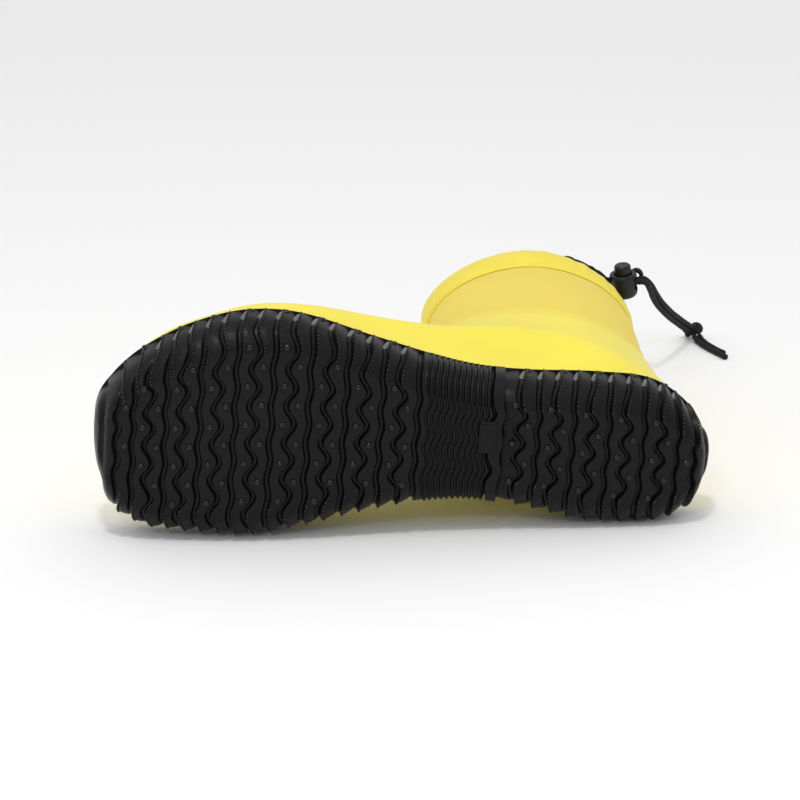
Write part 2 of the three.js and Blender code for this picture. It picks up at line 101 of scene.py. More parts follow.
def make_surround():
    """The even surround: white overhead, easing to grey at eye level, and a pale backdrop where the camera
    sees it."""
    world = bpy.data.worlds.new("surround")
    world.use_nodes = True
    tree = world.node_tree
    light = tree.nodes["Background"]
    place = add(tree, "ShaderNodeTexCoord").outputs["Generated"]
    up = add(tree, "ShaderNodeSeparateXYZ", Vector=place).outputs["Z"]
    level = add(tree, "ShaderNodeMapRange", Value=up, From_Min=0.0, From_Max=1.0, To_Min=0.56, To_Max=1.0)
    tree.links.new(level.outputs["Result"], light.inputs["Strength"])
    light.inputs["Color"].default_value = (1, 1, 1, 1)
    backdrop = add(tree, "ShaderNodeBackground", Color=(1, 1, 1, 1), Strength=0.9)
    seen = add(tree, "ShaderNodeLightPath").outputs["Is Camera Ray"]
    both = add(tree, "ShaderNodeMixShader", _0=seen, _1=light.outputs[0], _2=backdrop.outputs[0])
    tree.links.new(both.outputs[0], tree.nodes["World Output"].inputs["Surface"])
    return world


bpy.context.scene.world = make_surround()

floor_mesh = bpy.data.meshes.new("floor")
half_floor = FLOOR_SIDE / 2
floor_corners = [(-half_floor, -half_floor, 0), (half_floor, -half_floor, 0), (half_floor, half_floor, 0),
                 (-half_floor, half_floor, 0)]
floor_mesh.from_pydata(floor_corners, [], [(0, 1, 2, 3)])
floor = put_in_scene("floor", floor_mesh)
floor_paint, _, floor_shader = new_material("floor_paint")
floor_shader.inputs["Base Color"].default_value = (0.94, 0.94, 0.94, 1)
floor_shader.inputs["Roughness"].default_value = 0.9
floor_mesh.materials.append(floor_paint)


# ---- Outsole ---------------------------------------------------------------------------------------------
# One black rubber moulding: a cup with rounded edges that wraps up round the foot. Its tread is cut by
# cross grooves, straight and wavy by turns, that run on up the wall; the waist has fine ribs and a blank
# plate.
SOLE_LENGTH = 285
SOLE_MIDDLE = 5.6
FULLNESS = [[-137, 63], [-85, 61.5], [-53, 55.5], [-12, 40.7], [30, 31], [60, 32], [95, 41.5], [122, 49.5],
            [148, 47]]
CENTRE_LINE = [[-137, -8.5], [-100, -6], [-70, -2], [-20, 0], [50, -1.7], [100, -6.7], [148, -9]]
WALL_TOP = [[-137, 41], [-110, 31], [-70, 23], [60, 22], [100, 23], [148, 27]]
INNER_FILL = [[-140, 14], [-127, 11], [-118, 8.5], [-109, 6.2], [-100, 3], [-85, 0.8], [-60, 0], [-45, -0.9],
              [-36, -0.6], [-18, 0], [0, 0.2], [10, 0.6], [26, 1.5], [45, 2.9], [61, 3.2], [83, 2.6],
              [100, 0.8],
              [115, 0], [128, 2.4], [137, 4], [148, 5]]
OUTER_FILL = [[-140, -5], [-127, -3.6], [-118, -2.2], [-109, -1.2], [-95, 0], [148, 0]]
TOE_SPRING = (-40, 14, 97)
HEEL_SPRING = (110, 3, 38)
CORNER = 13
BASE = 3
TURN_ON_FLOOR = 0.0737
MIDDLE_OF_FOOTPRINT = np.array([9.35, 113.8, -49.65])

PITCH = 8.2
FOREFOOT_START, HEEL_START = -4.9, 1.4
FOREFOOT_WAVE_SHIFT = 4.0
TOE_CROWDING = {"from": -60, "over": 50, "by": 3.5}
BAR_RISE = 3.0
GROOVE_DEPTH = {"tread": 2.7, "wall": 1.8}
WAVE_LENGTH = 18
WAIST = (11, 41)
BAR = (42.2, 46.6)
RIB_PITCH = 2.65
FLAT_SHARE, CORNER_SHARE = 0.62, 0.24


def through(points, x):
    """A smooth curve through the points (x, y): cubic pieces whose slope at each point is taken from both
    neighbours."""
    px, py = np.asarray(points, float).T
    slope = np.gradient(py)
    slope[1:-1] = (py[2:] - py[:-2]) / (px[2:] - px[:-2])
    slope[0] = (py[1] - py[0]) / (px[1] - px[0])
    slope[-1] = (py[-1] - py[-2]) / (px[-1] - px[-2])
    i = np.clip(np.searchsorted(px, x, side="left") - 1, 0, len(px) - 2)
    step = px[i + 1] - px[i]
    q = np.clip((x - px[i]) / step, 0, 1)
    return ((2 * q**3 - 3 * q**2 + 1) * py[i] + (q**3 - 2 * q**2 + q) * step * slope[i]
            + (3 * q**2 - 2 * q**3) * py[i + 1] + (q**3 - q**2) * step * slope[i + 1])


def ease(value, low, high):
    """0 below low, 1 above high, and a smooth step between."""
    share = np.clip((value - low) / (high - low), 0, 1)
    return share * share * (3 - 2 * share)


def half_width(x, inset=0.0):
    """Half the width of the sole's plan at x, for an outline drawn in by inset: fullness times a blunt
    oval."""
    across = (x - SOLE_MIDDLE) / (SOLE_LENGTH / 2 - inset)
    return np.maximum(through(FULLNESS, x) - 1.1 * inset, 0) * np.maximum(1 - across**2, 0) ** 0.4


def side_fill(x, side):
    """What the plan gains at x on the outer (+) or inner (-) side: a fuller inner toe and heel, and a leaner
    outer toe. It fades to nothing at both tips with the root of the distance."""
    from_tip = SOLE_LENGTH / 2 - np.abs(x - SOLE_MIDDLE)
    fill = np.where(side < 0, through(INNER_FILL, x), through(OUTER_FILL, x))
    return fill * np.sqrt(np.clip(from_tip / 7, 0, 1))


def lift(x):
    """How far the tread plane rises at x: a parabola at the toe and a small one at the heel."""
    toe = np.maximum(TOE_SPRING[0] - x, 0) / TOE_SPRING[2]
    heel = np.maximum(x - HEEL_SPRING[0], 0) / HEEL_SPRING[2]
    return TOE_SPRING[1] * toe**2 + HEEL_SPRING[1] * heel**2


def round_in(radius, height):
    """How far a rounded corner stands in from the wall at a height above its foot: a quarter circle."""
    below = np.clip(radius - height, 0, radius)
    return radius - np.sqrt(radius**2 - below**2)


def in_place(points):
    """Boot frame in millimetres to the row's frame in metres: a small turn about y, then a move to the
    footprint."""
    c, s = np.cos(TURN_ON_FLOOR), np.sin(TURN_ON_FLOOR)
    x, y, z = np.moveaxis(points, -1, 0)
    turned = np.stack([c * x + s * z, y, c * z - s * x], -1)
    return (turned - MIDDLE_OF_FOOTPRINT) * MM


def toe_crowding(at):
    """How far the pattern's grooves are drawn heelwards near the toe: a parabola, from 60 mm before the
    middle."""
    return TOE_CROWDING["by"] * (np.maximum(TOE_CROWDING["from"] - at, 0) / TOE_CROWDING["over"]) ** 2


def tread_place(at):
    """Place along the sole to a place in the tread pattern, counted in grooves: the forefoot and the heel
    have a pattern each, with the waist between them."""
    return (at - np.where(at < 26, FOREFOOT_START, HEEL_START) - toe_crowding(at)) / PITCH


def tread_groove(at):
    """Place along the sole to (distance from the nearest cross groove, share of the way from it to the
    next)."""
    along = tread_place(at)
    return np.abs(along - np.floor(along) - 0.5) * PITCH, np.mod(along - 0.5, 1.0)


def tread_height(at, reach):
    """Height of the moulded relief, 0 in the grooves to 1 on the bars, at a place along and a reach from 0
    at the middle to 1 at the top of the wall. On the wall each bar falls away from its toe edge to its heel
    edge."""
    gap, share = tread_groove(at)
    on_wall = ease(reach, FLAT_SHARE - 0.04, FLAT_SHARE + 0.14)
    bars = ease(gap, 0.55, 1.5) * (0.84 + 0.16
                                   * ease(gap, 1.3, 3.6)) + 0.07 * np.exp(-((gap - 1.75) / 0.3) ** 2)
    bars = bars * (1 - 0.8 * on_wall * share)
    ribs = 0.6 + 0.4 * ease(np.abs(np.mod(at / RIB_PITCH, 1.0) - 0.5), 0.12, 0.38)
    in_waist = ease(at, WAIST[0] - 0.5, WAIST[0] + 0.5) * (1 - ease(at, WAIST[1] - 0.5, WAIST[1] + 0.5))
    on_bar = ease(at, BAR[0] - 0.5, BAR[0]) * (1 - ease(at, BAR[1], BAR[1] + 0.5))
    between = ease(at, WAIST[1] - 0.5, WAIST[1]) * (1 - ease(at, BAR[1], BAR[1] + 2.2)) * (1 - on_bar)
    height = bars * (1 - in_waist) + ribs * in_waist
    height = height * (1 - between) * (1 - on_bar) + on_bar
    return height


def sole_base(at, reach):
    """Point of the cup before its relief, for a place along the sole and a signed reach from the middle
    line: flat, then a quarter-round corner, then an upright wall. The place is first shifted by the wave of
    the grooves."""
    a = np.abs(reach)
    side = np.sign(reach)
    in_waist = ease(at, WAIST[0] - 3, WAIST[0] + 3) * (1 - ease(at, WAIST[1] - 2, WAIST[1] + 1))
    depth = 1.35 - 0.75 * np.cos(np.pi * (tread_place(at) - 1.5))
    depth = depth * (1 - in_waist) + 0.9 * in_waist
    from_tip = np.minimum(at - SOLE_MIDDLE + SOLE_LENGTH / 2, SOLE_LENGTH / 2 - at + SOLE_MIDDLE)
    depth = depth * ease(from_tip, 3, 22) * (1 - 0.75 * ease(a, FLAT_SHARE, FLAT_SHARE + 0.2))
    half0 = half_width(at) + side_fill(at, side)
    across = side * half0 * np.clip(a / (FLAT_SHARE + CORNER_SHARE * 0.7), 0, 1)
    lean = 2.6 * ease(a, FLAT_SHARE, 1.0) * ease(from_tip, 8, 34)
    shift = FOREFOOT_WAVE_SHIFT * (1 - ease(at, 0, 40))
    x = at + depth * np.cos(2 * np.pi * (across - shift) / WAVE_LENGTH) + lean
    half = half_width(x) + side_fill(x, side)
    radius = np.minimum(CORNER, 0.8 * half)
    low = lift(x) + BASE + round_in(CORNER, SOLE_LENGTH / 2 - np.abs(x - SOLE_MIDDLE))
    high = through(WALL_TOP, x)
    flat = half - radius
    turn = np.clip((a - FLAT_SHARE) / CORNER_SHARE, 0, 1) * np.pi / 2
    up = np.clip((a - FLAT_SHARE - CORNER_SHARE) / (1 - FLAT_SHARE - CORNER_SHARE), 0, 1)
    z = flat * np.clip(a / FLAT_SHARE, 0, 1) + radius * np.sin(turn)
    foot = low + radius * (1 - np.cos(turn))
    y = foot + (high - np.minimum(low + radius, high - 0.5)) * up
    y = np.minimum(y, high)
    return np.stack([x, y, through(CENTRE_LINE, x) + side * z], -1)


def facing(points):
    """Outward unit normals of a grid of points: the cross product of its two directions, turned away from
    the foot."""
    along = np.gradient(points, axis=0)
    across = np.gradient(points, axis=1)
    normal = np.cross(along, across)
    length = np.linalg.norm(normal, axis=-1, keepdims=True)
    normal = normal / np.maximum(length, 1e-9)
    middle = np.stack([np.clip(points[..., 0], -115, 125), np.full(points.shape[:2], 34.0),
                       through(CENTRE_LINE, points[..., 0])], -1)
    flip = np.sign(np.sum(normal * (points - middle), -1, keepdims=True))
    normal = normal * np.where(flip == 0, 1, flip)
    tips = np.zeros_like(normal)
    tips[..., 0] = np.sign(points[..., 0])
    return np.where(length > 1e-6, normal, tips)


def sole_surface(at, reach):
    """Moulded surface of the outsole on a grid: the cup's base moved along its normal by the relief. The
    bars stand off the base on the tread and nearly level with it on the wall, and the grooves get shallower
    upwards."""
    base = sole_base(at, reach)
    a = np.abs(reach)
    shallower = GROOVE_DEPTH["tread"] - GROOVE_DEPTH["wall"]
    depth = GROOVE_DEPTH["tread"] - shallower * ease(a, FLAT_SHARE + CORNER_SHARE * 0.7, 1.0)
    crest = BAR_RISE - (BAR_RISE - 0.2) * ease(a, FLAT_SHARE - 0.04, FLAT_SHARE + CORNER_SHARE)
    from_tip = SOLE_LENGTH / 2 - np.abs(base[..., 0] - SOLE_MIDDLE)
    crest, depth = crest * ease(from_tip, -1, 11), depth * ease(from_tip, 0.3, 5)
    normal = facing(base)
    return base + normal * (crest - depth * (1 - tread_height(at, a)))[..., None], normal


def grid_mesh(name, points, along_closed=False, around_closed=False, sharp=None):
    """A mesh over a grid of points. Neighbours become quads, the grid may close on itself either way,
    doubled points at its poles are merged, and it is turned so that its volume is positive."""
    rows, columns = points.shape[:2]
    index = np.arange(rows * columns).reshape(rows, columns)
    if along_closed:
        index = np.vstack([index, index[:1]])
    if around_closed:
        index = np.hstack([index, index[:, :1]])
    quads = np.stack([index[:-1, :-1], index[1:, :-1], index[1:, 1:], index[:-1, 1:]], -1).reshape(-1, 4)
    flat = points.reshape(-1, 3)
    a, b, c, d = (flat[quads[:, k]] for k in range(4))
    volume = np.sum(np.cross(a, b) * c) + np.sum(np.cross(a, c) * d)
    if volume < 0:
        quads = quads[:, ::-1]
    mesh = bpy.data.meshes.new(name)
    mesh.from_pydata(flat, [], quads)
    finish_mesh(mesh, sharp)
    return put_in_scene(name, mesh)


def finish_mesh(mesh, sharp=None):
    """Merges doubled points, drops faces without area, smooths the shading and keeps edges sharper than an
    angle."""
    work = bmesh.new()
    work.from_mesh(mesh)
    bmesh.ops.remove_doubles(work, verts=work.verts, dist=2e-7)
    bmesh.ops.dissolve_degenerate(work, edges=work.edges, dist=1e-7)
    work.to_mesh(mesh)
    work.free()
    mesh.polygons.foreach_set("use_smooth", np.ones(len(mesh.polygons), bool))
    if sharp:
        mesh.set_sharp_from_angle(angle=np.radians(sharp))
    mesh.update()


def fit(piece, material, node=None, body="boot"):
    """Gives a piece its material, the body it moves with and the CAD node that it stands in for."""
    piece.data.materials.append(material)
    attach(piece, body)
    if node:
        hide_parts(node)


def scatter(name, shape, places, along, out):
    """Copies of one small closed grid, each put at a place with its x on along and its z on out, in one
    mesh."""
    along = along / np.linalg.norm(along, axis=-1, keepdims=True)
    out = out - along * np.sum(along * out, -1, keepdims=True)
    out = out / np.linalg.norm(out, axis=-1, keepdims=True)
    basis = np.stack([along, np.cross(out, along), out], 1)
    rows, columns = shape.shape[:2]
    points = np.einsum("pk,nkd->npd", shape.reshape(-1, 3), basis) + places[:, None, :]
    index = np.arange(rows * columns).reshape(rows, columns)
    index = np.hstack([index, index[:, :1]])
    quads = np.stack([index[:-1, :-1], index[:-1, 1:], index[1:, 1:], index[1:, :-1]], -1).reshape(-1, 4)
    quads = (quads[None] + (np.arange(len(places)) * rows * columns)[:, None, None]).reshape(-1, 4)
    mesh = bpy.data.meshes.new(name)
    mesh.from_pydata(in_place(points.reshape(-1, 3)), [], quads)
    finish_mesh(mesh)
    return put_in_scene(name, mesh)


def turned(profile, sides):
    """Profile points (radius, height) carried round the z axis, from the axis or edge inwards to the axis."""
    turn = np.linspace(0, 2 * np.pi, sides, endpoint=False)
    radius, height = np.asarray(profile, float).T
    return np.stack([radius[:, None] * np.cos(turn), radius[:, None] * np.sin(turn),
                     np.repeat(height[:, None], sides, 1)], -1)


def shader_group(name, inputs, outputs):
    """An empty shader node group with these sockets, and its two ends."""
    tree = bpy.data.node_groups.new(name, "ShaderNodeTree")
    for label, kind, value in inputs:
        socket = tree.interface.new_socket(name=label, in_out="INPUT", socket_type=kind)
        socket.default_value = value
    for label, kind in outputs:
        tree.interface.new_socket(name=label, in_out="OUTPUT", socket_type=kind)
    return tree, tree.nodes.new("NodeGroupInput"), tree.nodes.new("NodeGroupOutput")


def place_group(tree, group, **inputs):
    """A node that holds this group, with each input, named with _ for a space, set to a value."""
    made = tree.nodes.new("ShaderNodeGroup")
    made.node_tree = group
    for name, value in inputs.items():
        made.inputs[name.replace("_", " ")].default_value = value
    return made


def blend(tree, share, low, high):
    """A colour that goes from low to high with a share. Each is a colour or a socket."""
    mix = tree.nodes.new("ShaderNodeMix")
    mix.data_type = "RGBA"
    tree.links.new(share, mix.inputs["Factor"])
    for socket, colour in ((mix.inputs[6], low), (mix.inputs[7], high)):
        if isinstance(colour, bpy.types.NodeSocket):
            tree.links.new(colour, socket)
        else:
            socket.default_value = (*colour, 1)
    return mix.outputs[2]


def compute(tree, operation, *values):
    """The result of one Math node."""
    made = add(tree, "ShaderNodeMath", **{"_%d" % k: value for k, value in enumerate(values)})
    made.operation = operation
    return made.outputs[0]


def make_skin_group():
    """Moulded skin: a fine grain and soft waves as one bump, and a slow mottling mask."""
    tree, start, end = shader_group(
        "moulded_skin",
        [("Grain Scale", "NodeSocketFloat", 900.0), ("Grain Depth", "NodeSocketFloat", 0.00003),
         ("Wave Scale", "NodeSocketFloat", 30.0), ("Wave Depth", "NodeSocketFloat", 0.0002)],
        [("Normal", "NodeSocketVector"), ("Mottle", "NodeSocketFloat")])
    place = add(tree, "ShaderNodeTexCoord").outputs["Object"]
    grain = add(tree, "ShaderNodeTexNoise", Vector=place, Scale=start.outputs["Grain Scale"], Detail=3.0)
    waves = add(tree, "ShaderNodeTexNoise", Vector=place, Scale=start.outputs["Wave Scale"], Detail=2.0)
    soft = add(tree, "ShaderNodeBump", Strength=1.0, Distance=start.outputs["Wave Depth"],
               Height=waves.outputs["Fac"])
    fine = add(tree, "ShaderNodeBump", Strength=1.0, Distance=start.outputs["Grain Depth"],
               Height=grain.outputs["Fac"],
               Normal=soft.outputs["Normal"])
    mottle = add(tree, "ShaderNodeTexNoise", Vector=place, Scale=14.0, Detail=4.0, Roughness=0.6)
    tree.links.new(fine.outputs["Normal"], end.inputs["Normal"])
    tree.links.new(mottle.outputs["Fac"], end.inputs["Mottle"])
    return tree


MOULDED_SKIN = make_skin_group()


def skin_material(name, dark, light, rough, grain_scale, grain_depth, wave_depth, coat=0.0, specular=0.5):
    """A rubber or plastic whose colour and roughness drift slowly between two values over a moulded skin."""
    material, tree, shader = new_material(name)
    skin = place_group(tree, MOULDED_SKIN, Grain_Scale=grain_scale, Grain_Depth=grain_depth,
                       Wave_Depth=wave_depth)
    shift = add(tree, "ShaderNodeMapRange", Value=skin.outputs["Mottle"], From_Min=0.3, From_Max=0.7)
    colour = blend(tree, shift.outputs["Result"], dark, light)
    roughness = add(tree, "ShaderNodeMapRange", Value=skin.outputs["Mottle"], From_Min=0.3, From_Max=0.7,
                    To_Min=rough[0], To_Max=rough[1])
    tree.links.new(colour, shader.inputs["Base Color"])
    tree.links.new(roughness.outputs["Result"], shader.inputs["Roughness"])
    tree.links.new(skin.outputs["Normal"], shader.inputs["Normal"])
    shader.inputs["Coat Weight"].default_value = coat
    shader.inputs["Specular IOR Level"].default_value = specular
    return material


sole_rubber = skin_material("black_sole_rubber", (0.003, 0.003, 0.0033), (0.0055, 0.0055, 0.006), (0.3, 0.42),
                            1400.0, 0.00002, 0.0001, specular=0.17)

# Stations along the sole: close together at both tips and at the edges of every groove and rib.
toe_tip, heel_tip = SOLE_MIDDLE - SOLE_LENGTH / 2, SOLE_MIDDLE + SOLE_LENGTH / 2
near_tip = np.array([0, 0.01, 0.04, 0.1, 0.2, 0.35, 0.55, 0.8, 1.1, 1.5, 2, 2.6, 3.3, 4.1])
groove_steps = np.array([-2.15, -1.75, -1.45, -1.05, -0.6, 0, 0.6, 1.05, 1.45, 1.75, 2.15, 3.1, 4.1, 5.1])
groove_numbers = np.arange(-17, 19)
forefoot_grooves = (groove_numbers + 0.5) * PITCH + FOREFOOT_START
uncrowded = forefoot_grooves
for _ in range(8):
    forefoot_grooves = uncrowded + toe_crowding(forefoot_grooves)
heel_grooves = (groove_numbers + 0.5) * PITCH + HEEL_START
in_forefoot, in_heel = forefoot_grooves < WAIST[0], heel_grooves > BAR[1]
grooves = np.concatenate([forefoot_grooves[in_forefoot], heel_grooves[in_heel]])
groove_numbers = np.concatenate([groove_numbers[in_forefoot], groove_numbers[in_heel]])
groove_stations = (grooves[:, None] + groove_steps).ravel()
groove_stations = groove_stations[(groove_stations < WAIST[0]) | (groove_stations > BAR[1] + 0.6)]
rib_stations = np.arange(WAIST[0], WAIST[1], RIB_PITCH / 6)
bar_stations = np.array([WAIST[1], 41.5, 41.8, 42.2, 43.5, 45.2, 46.6, 47.0])
stations = np.concatenate([groove_stations, rib_stations, bar_stations])
stations = stations[(stations > toe_tip + 4.6) & (stations < heel_tip - 4.6)]
stations = np.sort(np.concatenate([toe_tip + near_tip, stations, heel_tip - near_tip]))
reach = np.concatenate([np.linspace(0, FLAT_SHARE, 45)[:-1], np.linspace(FLAT_SHARE, 0.86, 16)[:-1],
                        np.linspace(0.86, 1, 13)])
reach = np.concatenate([-reach[:0:-1], reach])
outer_face, _ = sole_surface(stations[:, None], reach[None, :])


def cup_inside(x):
    """The rim, inner wall and inner floor of the cup at stations x, from the outer side round to the inner
    side."""
    high, low = through(WALL_TOP, x), lift(x) + BASE + 3.5 + round_in(CORNER,
                                                                      SOLE_LENGTH / 2
                                                                      - np.abs(x - SOLE_MIDDLE))
    steps = [(0.2, 0.35, 1), (1.4, 0.6, 1), (2.6, 0.3, 1), (3.2, -0.6, 1), (3.2, -4, 1), (5.5, 3.0, 0),
             (9, 0.6, 0),
             (16, 0, 0)]
    sides = []
    for side in (1, -1):
        half = half_width(x) + side_fill(x, side)
        rows = [np.stack([x, np.maximum(np.where(from_top, high, low) + rise, low),
                          side * np.maximum(half - inset, 0)], -1) for inset, rise, from_top in steps]
        sides.append(np.stack(rows, 1))
    ring = np.concatenate([sides[0], sides[1][:, ::-1]], 1)
    ring[..., 2] += through(CENTRE_LINE, x)[:, None]
    return ring


whole_ring = np.concatenate([outer_face, cup_inside(stations)], 1)
outsole = grid_mesh("outsole_rubber", in_place(whole_ring), around_closed=True, sharp=42)
fit(outsole, sole_rubber, "outsole")

# Round studs stand on the bars beside each wavy groove, in two columns half a wave apart, and ring studs on
# the wall.
STUD_SPACING = 3.3
STUD = [(1.6, -0.5), (1.58, 0.0), (1.5, 0.45), (1.28, 0.85), (0.9, 1.14), (0.45, 1.28), (0, 1.32)]
polished_rubber = skin_material("black_polished_rubber", (0.004, 0.004, 0.0044), (0.007, 0.007, 0.0075),
                                (0.1, 0.16),
                                900.0, 0.000004, 0.0, specular=0.34)


def on_sole(x, z_share):
    """Point and outward normal of the tread face at x, a signed share of the way from the middle to the
    edge."""
    flat = half_width(x) - np.minimum(CORNER, 0.8 * half_width(x))
    point = np.stack([x, lift(x) + 0.05, through(CENTRE_LINE, x) + flat * z_share], -1)
    slope = (lift(x + 0.5) - lift(x - 0.5))
    out = np.stack([slope, -np.ones_like(x), np.zeros_like(x)], -1)
    return point, out


stud_x, stud_z = [], []
for groove in grooves[groove_numbers % 2 == 0]:
    for side in (-1, 1):
        x = groove + side * STUD_SPACING
        if x < toe_tip + 14 or x > heel_tip - 12 or WAIST[0] - 3 < x < BAR[1] + 3:
            continue
        flat = float(half_width(x) - CORNER)
        first = (0.0 if side < 0 else WAVE_LENGTH / 2) + FOREFOOT_WAVE_SHIFT * (groove < WAIST[0])
        for step in range(-4, 5):
            z = first + WAVE_LENGTH * step
            if abs(z) < flat + 1.5:
                stud_x.append(x)
                stud_z.append(z / flat)
stud_places, stud_out = on_sole(np.array(stud_x), np.array(stud_z))
studs = scatter("tread_studs", turned(STUD, 12), stud_places, np.tile([1.0, 0, 0], (len(stud_x), 1)),
                stud_out)
fit(studs, polished_rubber)


def on_wall(at, reach_value):
    """Point and outward normal of the moulded wall at chosen places along and reaches, each worked out on
    its own small patch of the surface."""
    steps = np.array([-0.15, 0, 0.15])
    points, normals = [], []
    for a, r in zip(at, reach_value):
        face, normal = sole_surface((a + steps)[:, None], (r + steps * 0.03)[None, :])
        points.append(face[1, 1])
        normals.append(normal[1, 1])
    return np.array(points), np.array(normals)


wall_bars = [g + 0.34 * PITCH for g in grooves if toe_tip + 16 < g < heel_tip - 16 and not WAIST[0]
             - 8 < g < BAR[1]]
ring_at = np.array(wall_bars[::2])
ring_reach = np.full(len(ring_at), 0.965)
ring_places, ring_out = on_wall(np.tile(ring_at, 2), np.concatenate([ring_reach, -ring_reach]))
RING_STUD = [(2.0, -0.5), (1.9, 0.25), (1.55, 0.45), (1.15, 0.2), (1.0, -0.1), (0.6, -0.1), (0.5, 0.3),
             (0, 0.4)]
rings = scatter("wall_ring_studs", turned(RING_STUD, 14), ring_places,
                np.tile([1.0, 0, 0], (len(ring_places), 1)),
                ring_out)
fit(rings, polished_rubber)

# A row of small teeth runs down the toe edge of every bar, from the top of the wall to the edge of the tread.
tooth_reach = np.linspace(FLAT_SHARE - 0.04, 0.985, 22)
tooth_edges = [g + 1.75 for g in grooves if toe_tip + 9 < g < heel_tip - 9 and not WAIST[0]
               - 4 < g < BAR[1] - 2]
tooth_at = np.repeat(tooth_edges, len(tooth_reach))
tooth_side = np.tile(tooth_reach, len(tooth_edges))
tooth_places, tooth_out = on_wall(np.tile(tooth_at, 2), np.concatenate([tooth_side, -tooth_side]))
TOOTH = [(0.66, -0.4), (0.55, 0.25), (0.28, 0.55), (0, 0.6)]
teeth = scatter("wall_teeth", turned(TOOTH, 6), tooth_places, np.tile([1.0, 0, 0], (len(tooth_places), 1)),
                tooth_out)
fit(teeth, polished_rubber)

# Polished slanted facets stand in the valleys of the wall, leaning from the rim towards the tread.
turn = np.linspace(0, 2 * np.pi, 20, endpoint=False)
facet_outline = np.stack([3.5 * np.sign(np.cos(turn)) * np.abs(np.cos(turn)) ** 0.4,
                          1.25 * np.sign(np.sin(turn)) * np.abs(np.sin(turn)) ** 0.4], -1)
FACET = np.stack([np.concatenate([facet_outline * share, np.full((20, 1), height)], 1)
                  for share, height in ((1.05, -1.8), (1.0, 0.7), (0.9, 0.95), (0.55, 1.0), (0, 1.0))])
facet_gloss = skin_material("black_facet_gloss", (0.005, 0.005, 0.0055), (0.008, 0.008, 0.0085), (0.2, 0.3),
                            700.0,
                            0.00001, 0.0, coat=1.0, specular=1.0)
facet_at = np.array([g for g in grooves if toe_tip + 22 < g < heel_tip - 14 and not WAIST[0]
                     - 6 < g < BAR[1]])
for name, side in (("outer_wall_facets", 1), ("inner_wall_facets", -1)):
    facet_places, facet_out = on_wall(facet_at + 0.5, np.full(len(facet_at), side * 0.87))
    upper_ends, _ = on_wall(facet_at + 2.4, np.full(len(facet_at), side * 0.95))
    lower_ends, _ = on_wall(facet_at - 1.4, np.full(len(facet_at), side * 0.75))
    facets = scatter(name, FACET, facet_places, upper_ends - lower_ends, facet_out + [0, -0.5, 0])
    fit(facets, facet_gloss)

# The blank plate in the waist: a thin block with rounded corners, flush with the bars.
PLATE = {"x": 40.4, "half_x": 4.5, "half_z": 7.6, "z": 0.7, "top": -0.35, "foot": 1.6}
turn = np.linspace(0, 2 * np.pi, 64, endpoint=False)
square_x = np.sign(np.cos(turn)) * np.abs(np.cos(turn)) ** 0.25 * PLATE["half_x"]
square_z = np.sign(np.sin(turn)) * np.abs(np.sin(turn)) ** 0.25 * PLATE["half_z"]
plate_rows = []
for share, height in ((1.04, PLATE["foot"]), (1.02, 0.1), (0.97, PLATE["top"]), (0.86, PLATE["top"]),
                      (0.83, PLATE["top"] + 0.3), (0.5, PLATE["top"] + 0.3), (0, PLATE["top"] + 0.3)):
    plate_rows.append(np.stack([PLATE["x"] + share * square_x, np.full(64, height),
                                PLATE["z"] + share * square_z], -1))
plate = grid_mesh("waist_plate", in_place(np.array(plate_rows)), around_closed=True, sharp=40)
fit(plate, sole_rubber)

# ---- Inside of the cup -----------------------------------------------------------------------------------
# A grey foam filler levels the cup, and a fibre insole board lies on the turned-in edge of the upper. Both
# are cut flat, stay out of sight, and share their fibre and foam with the stiff caps and the footbed.
fibre_board = skin_material("fibre_board", (0.36, 0.27, 0.16), (0.46, 0.36, 0.23), (0.8, 0.95), 2200.0,
                            0.00006, 0.0)
filler_foam = skin_material("filler_foam", (0.06, 0.06, 0.065), (0.1, 0.1, 0.105), (0.85, 0.98), 1800.0,
                            0.00012, 0.0)
FOOTBED = {"middle": 7.5, "reach": 120, "inset": 9.2}


def footbed_layer(low, high, inset, blunt):
    """A rounded slab with the footbed's plan: at each station the section is a blunt oval between two
    heights above the rising sole, and the heel end dips between slightly raised edges."""
    t = np.linspace(0, np.pi, 90)[:, None]
    turn = np.linspace(0, 2 * np.pi, 96, endpoint=False)[None, :]
    x = FOOTBED["middle"] - (FOOTBED["reach"] - inset) * np.cos(t)
    full = np.maximum(through(FULLNESS, x) - FOOTBED["inset"] - inset, 0) * np.sin(t) ** 0.8
    full = full + np.minimum(side_fill(x, np.sign(np.cos(turn))), 0) * np.sin(t)
    z = full * np.sign(np.cos(turn)) * np.abs(np.cos(turn)) ** 0.45
    thick = (high - low) * np.sin(t) ** 0.35
    y = lift(x) + (high + low) / 2 + thick / 2 * np.sign(np.sin(turn)) * np.abs(np.sin(turn)) ** blunt
    y = y + 0.9 * (z / np.maximum(full, 1)) ** 4 * ease(x, -60, 60) * (full > 1)
    return np.stack([x + 0 * z, y, through(CENTRE_LINE, x) + z], -1)


for name, node, low, high, inset, finish in (("filler_slab", "sole_filler", 6.9, 8.6, 1.5, filler_foam),
                                             ("insole_board_slab", "insole_board", 11.3, 12.1, 1.0,
                                              fibre_board)):
    slab = grid_mesh(name, in_place(footbed_layer(low, high, inset, 0.5)), around_closed=True)
    fit(slab, finish, node)
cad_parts["heel_counter"].material_slots[0].material = fibre_board


# ---- Footbed ---------------------------------------------------------------------------------------------
# A loose foam insole with a knitted cover bonded on top. Both are cut to the inside of the boot.
foam_piece = grid_mesh("footbed_foam_block", in_place(footbed_layer(14.4, 18.0, 0.4, 0.5)),
                       around_closed=True)
fit(foam_piece, filler_foam, "footbed_foam")


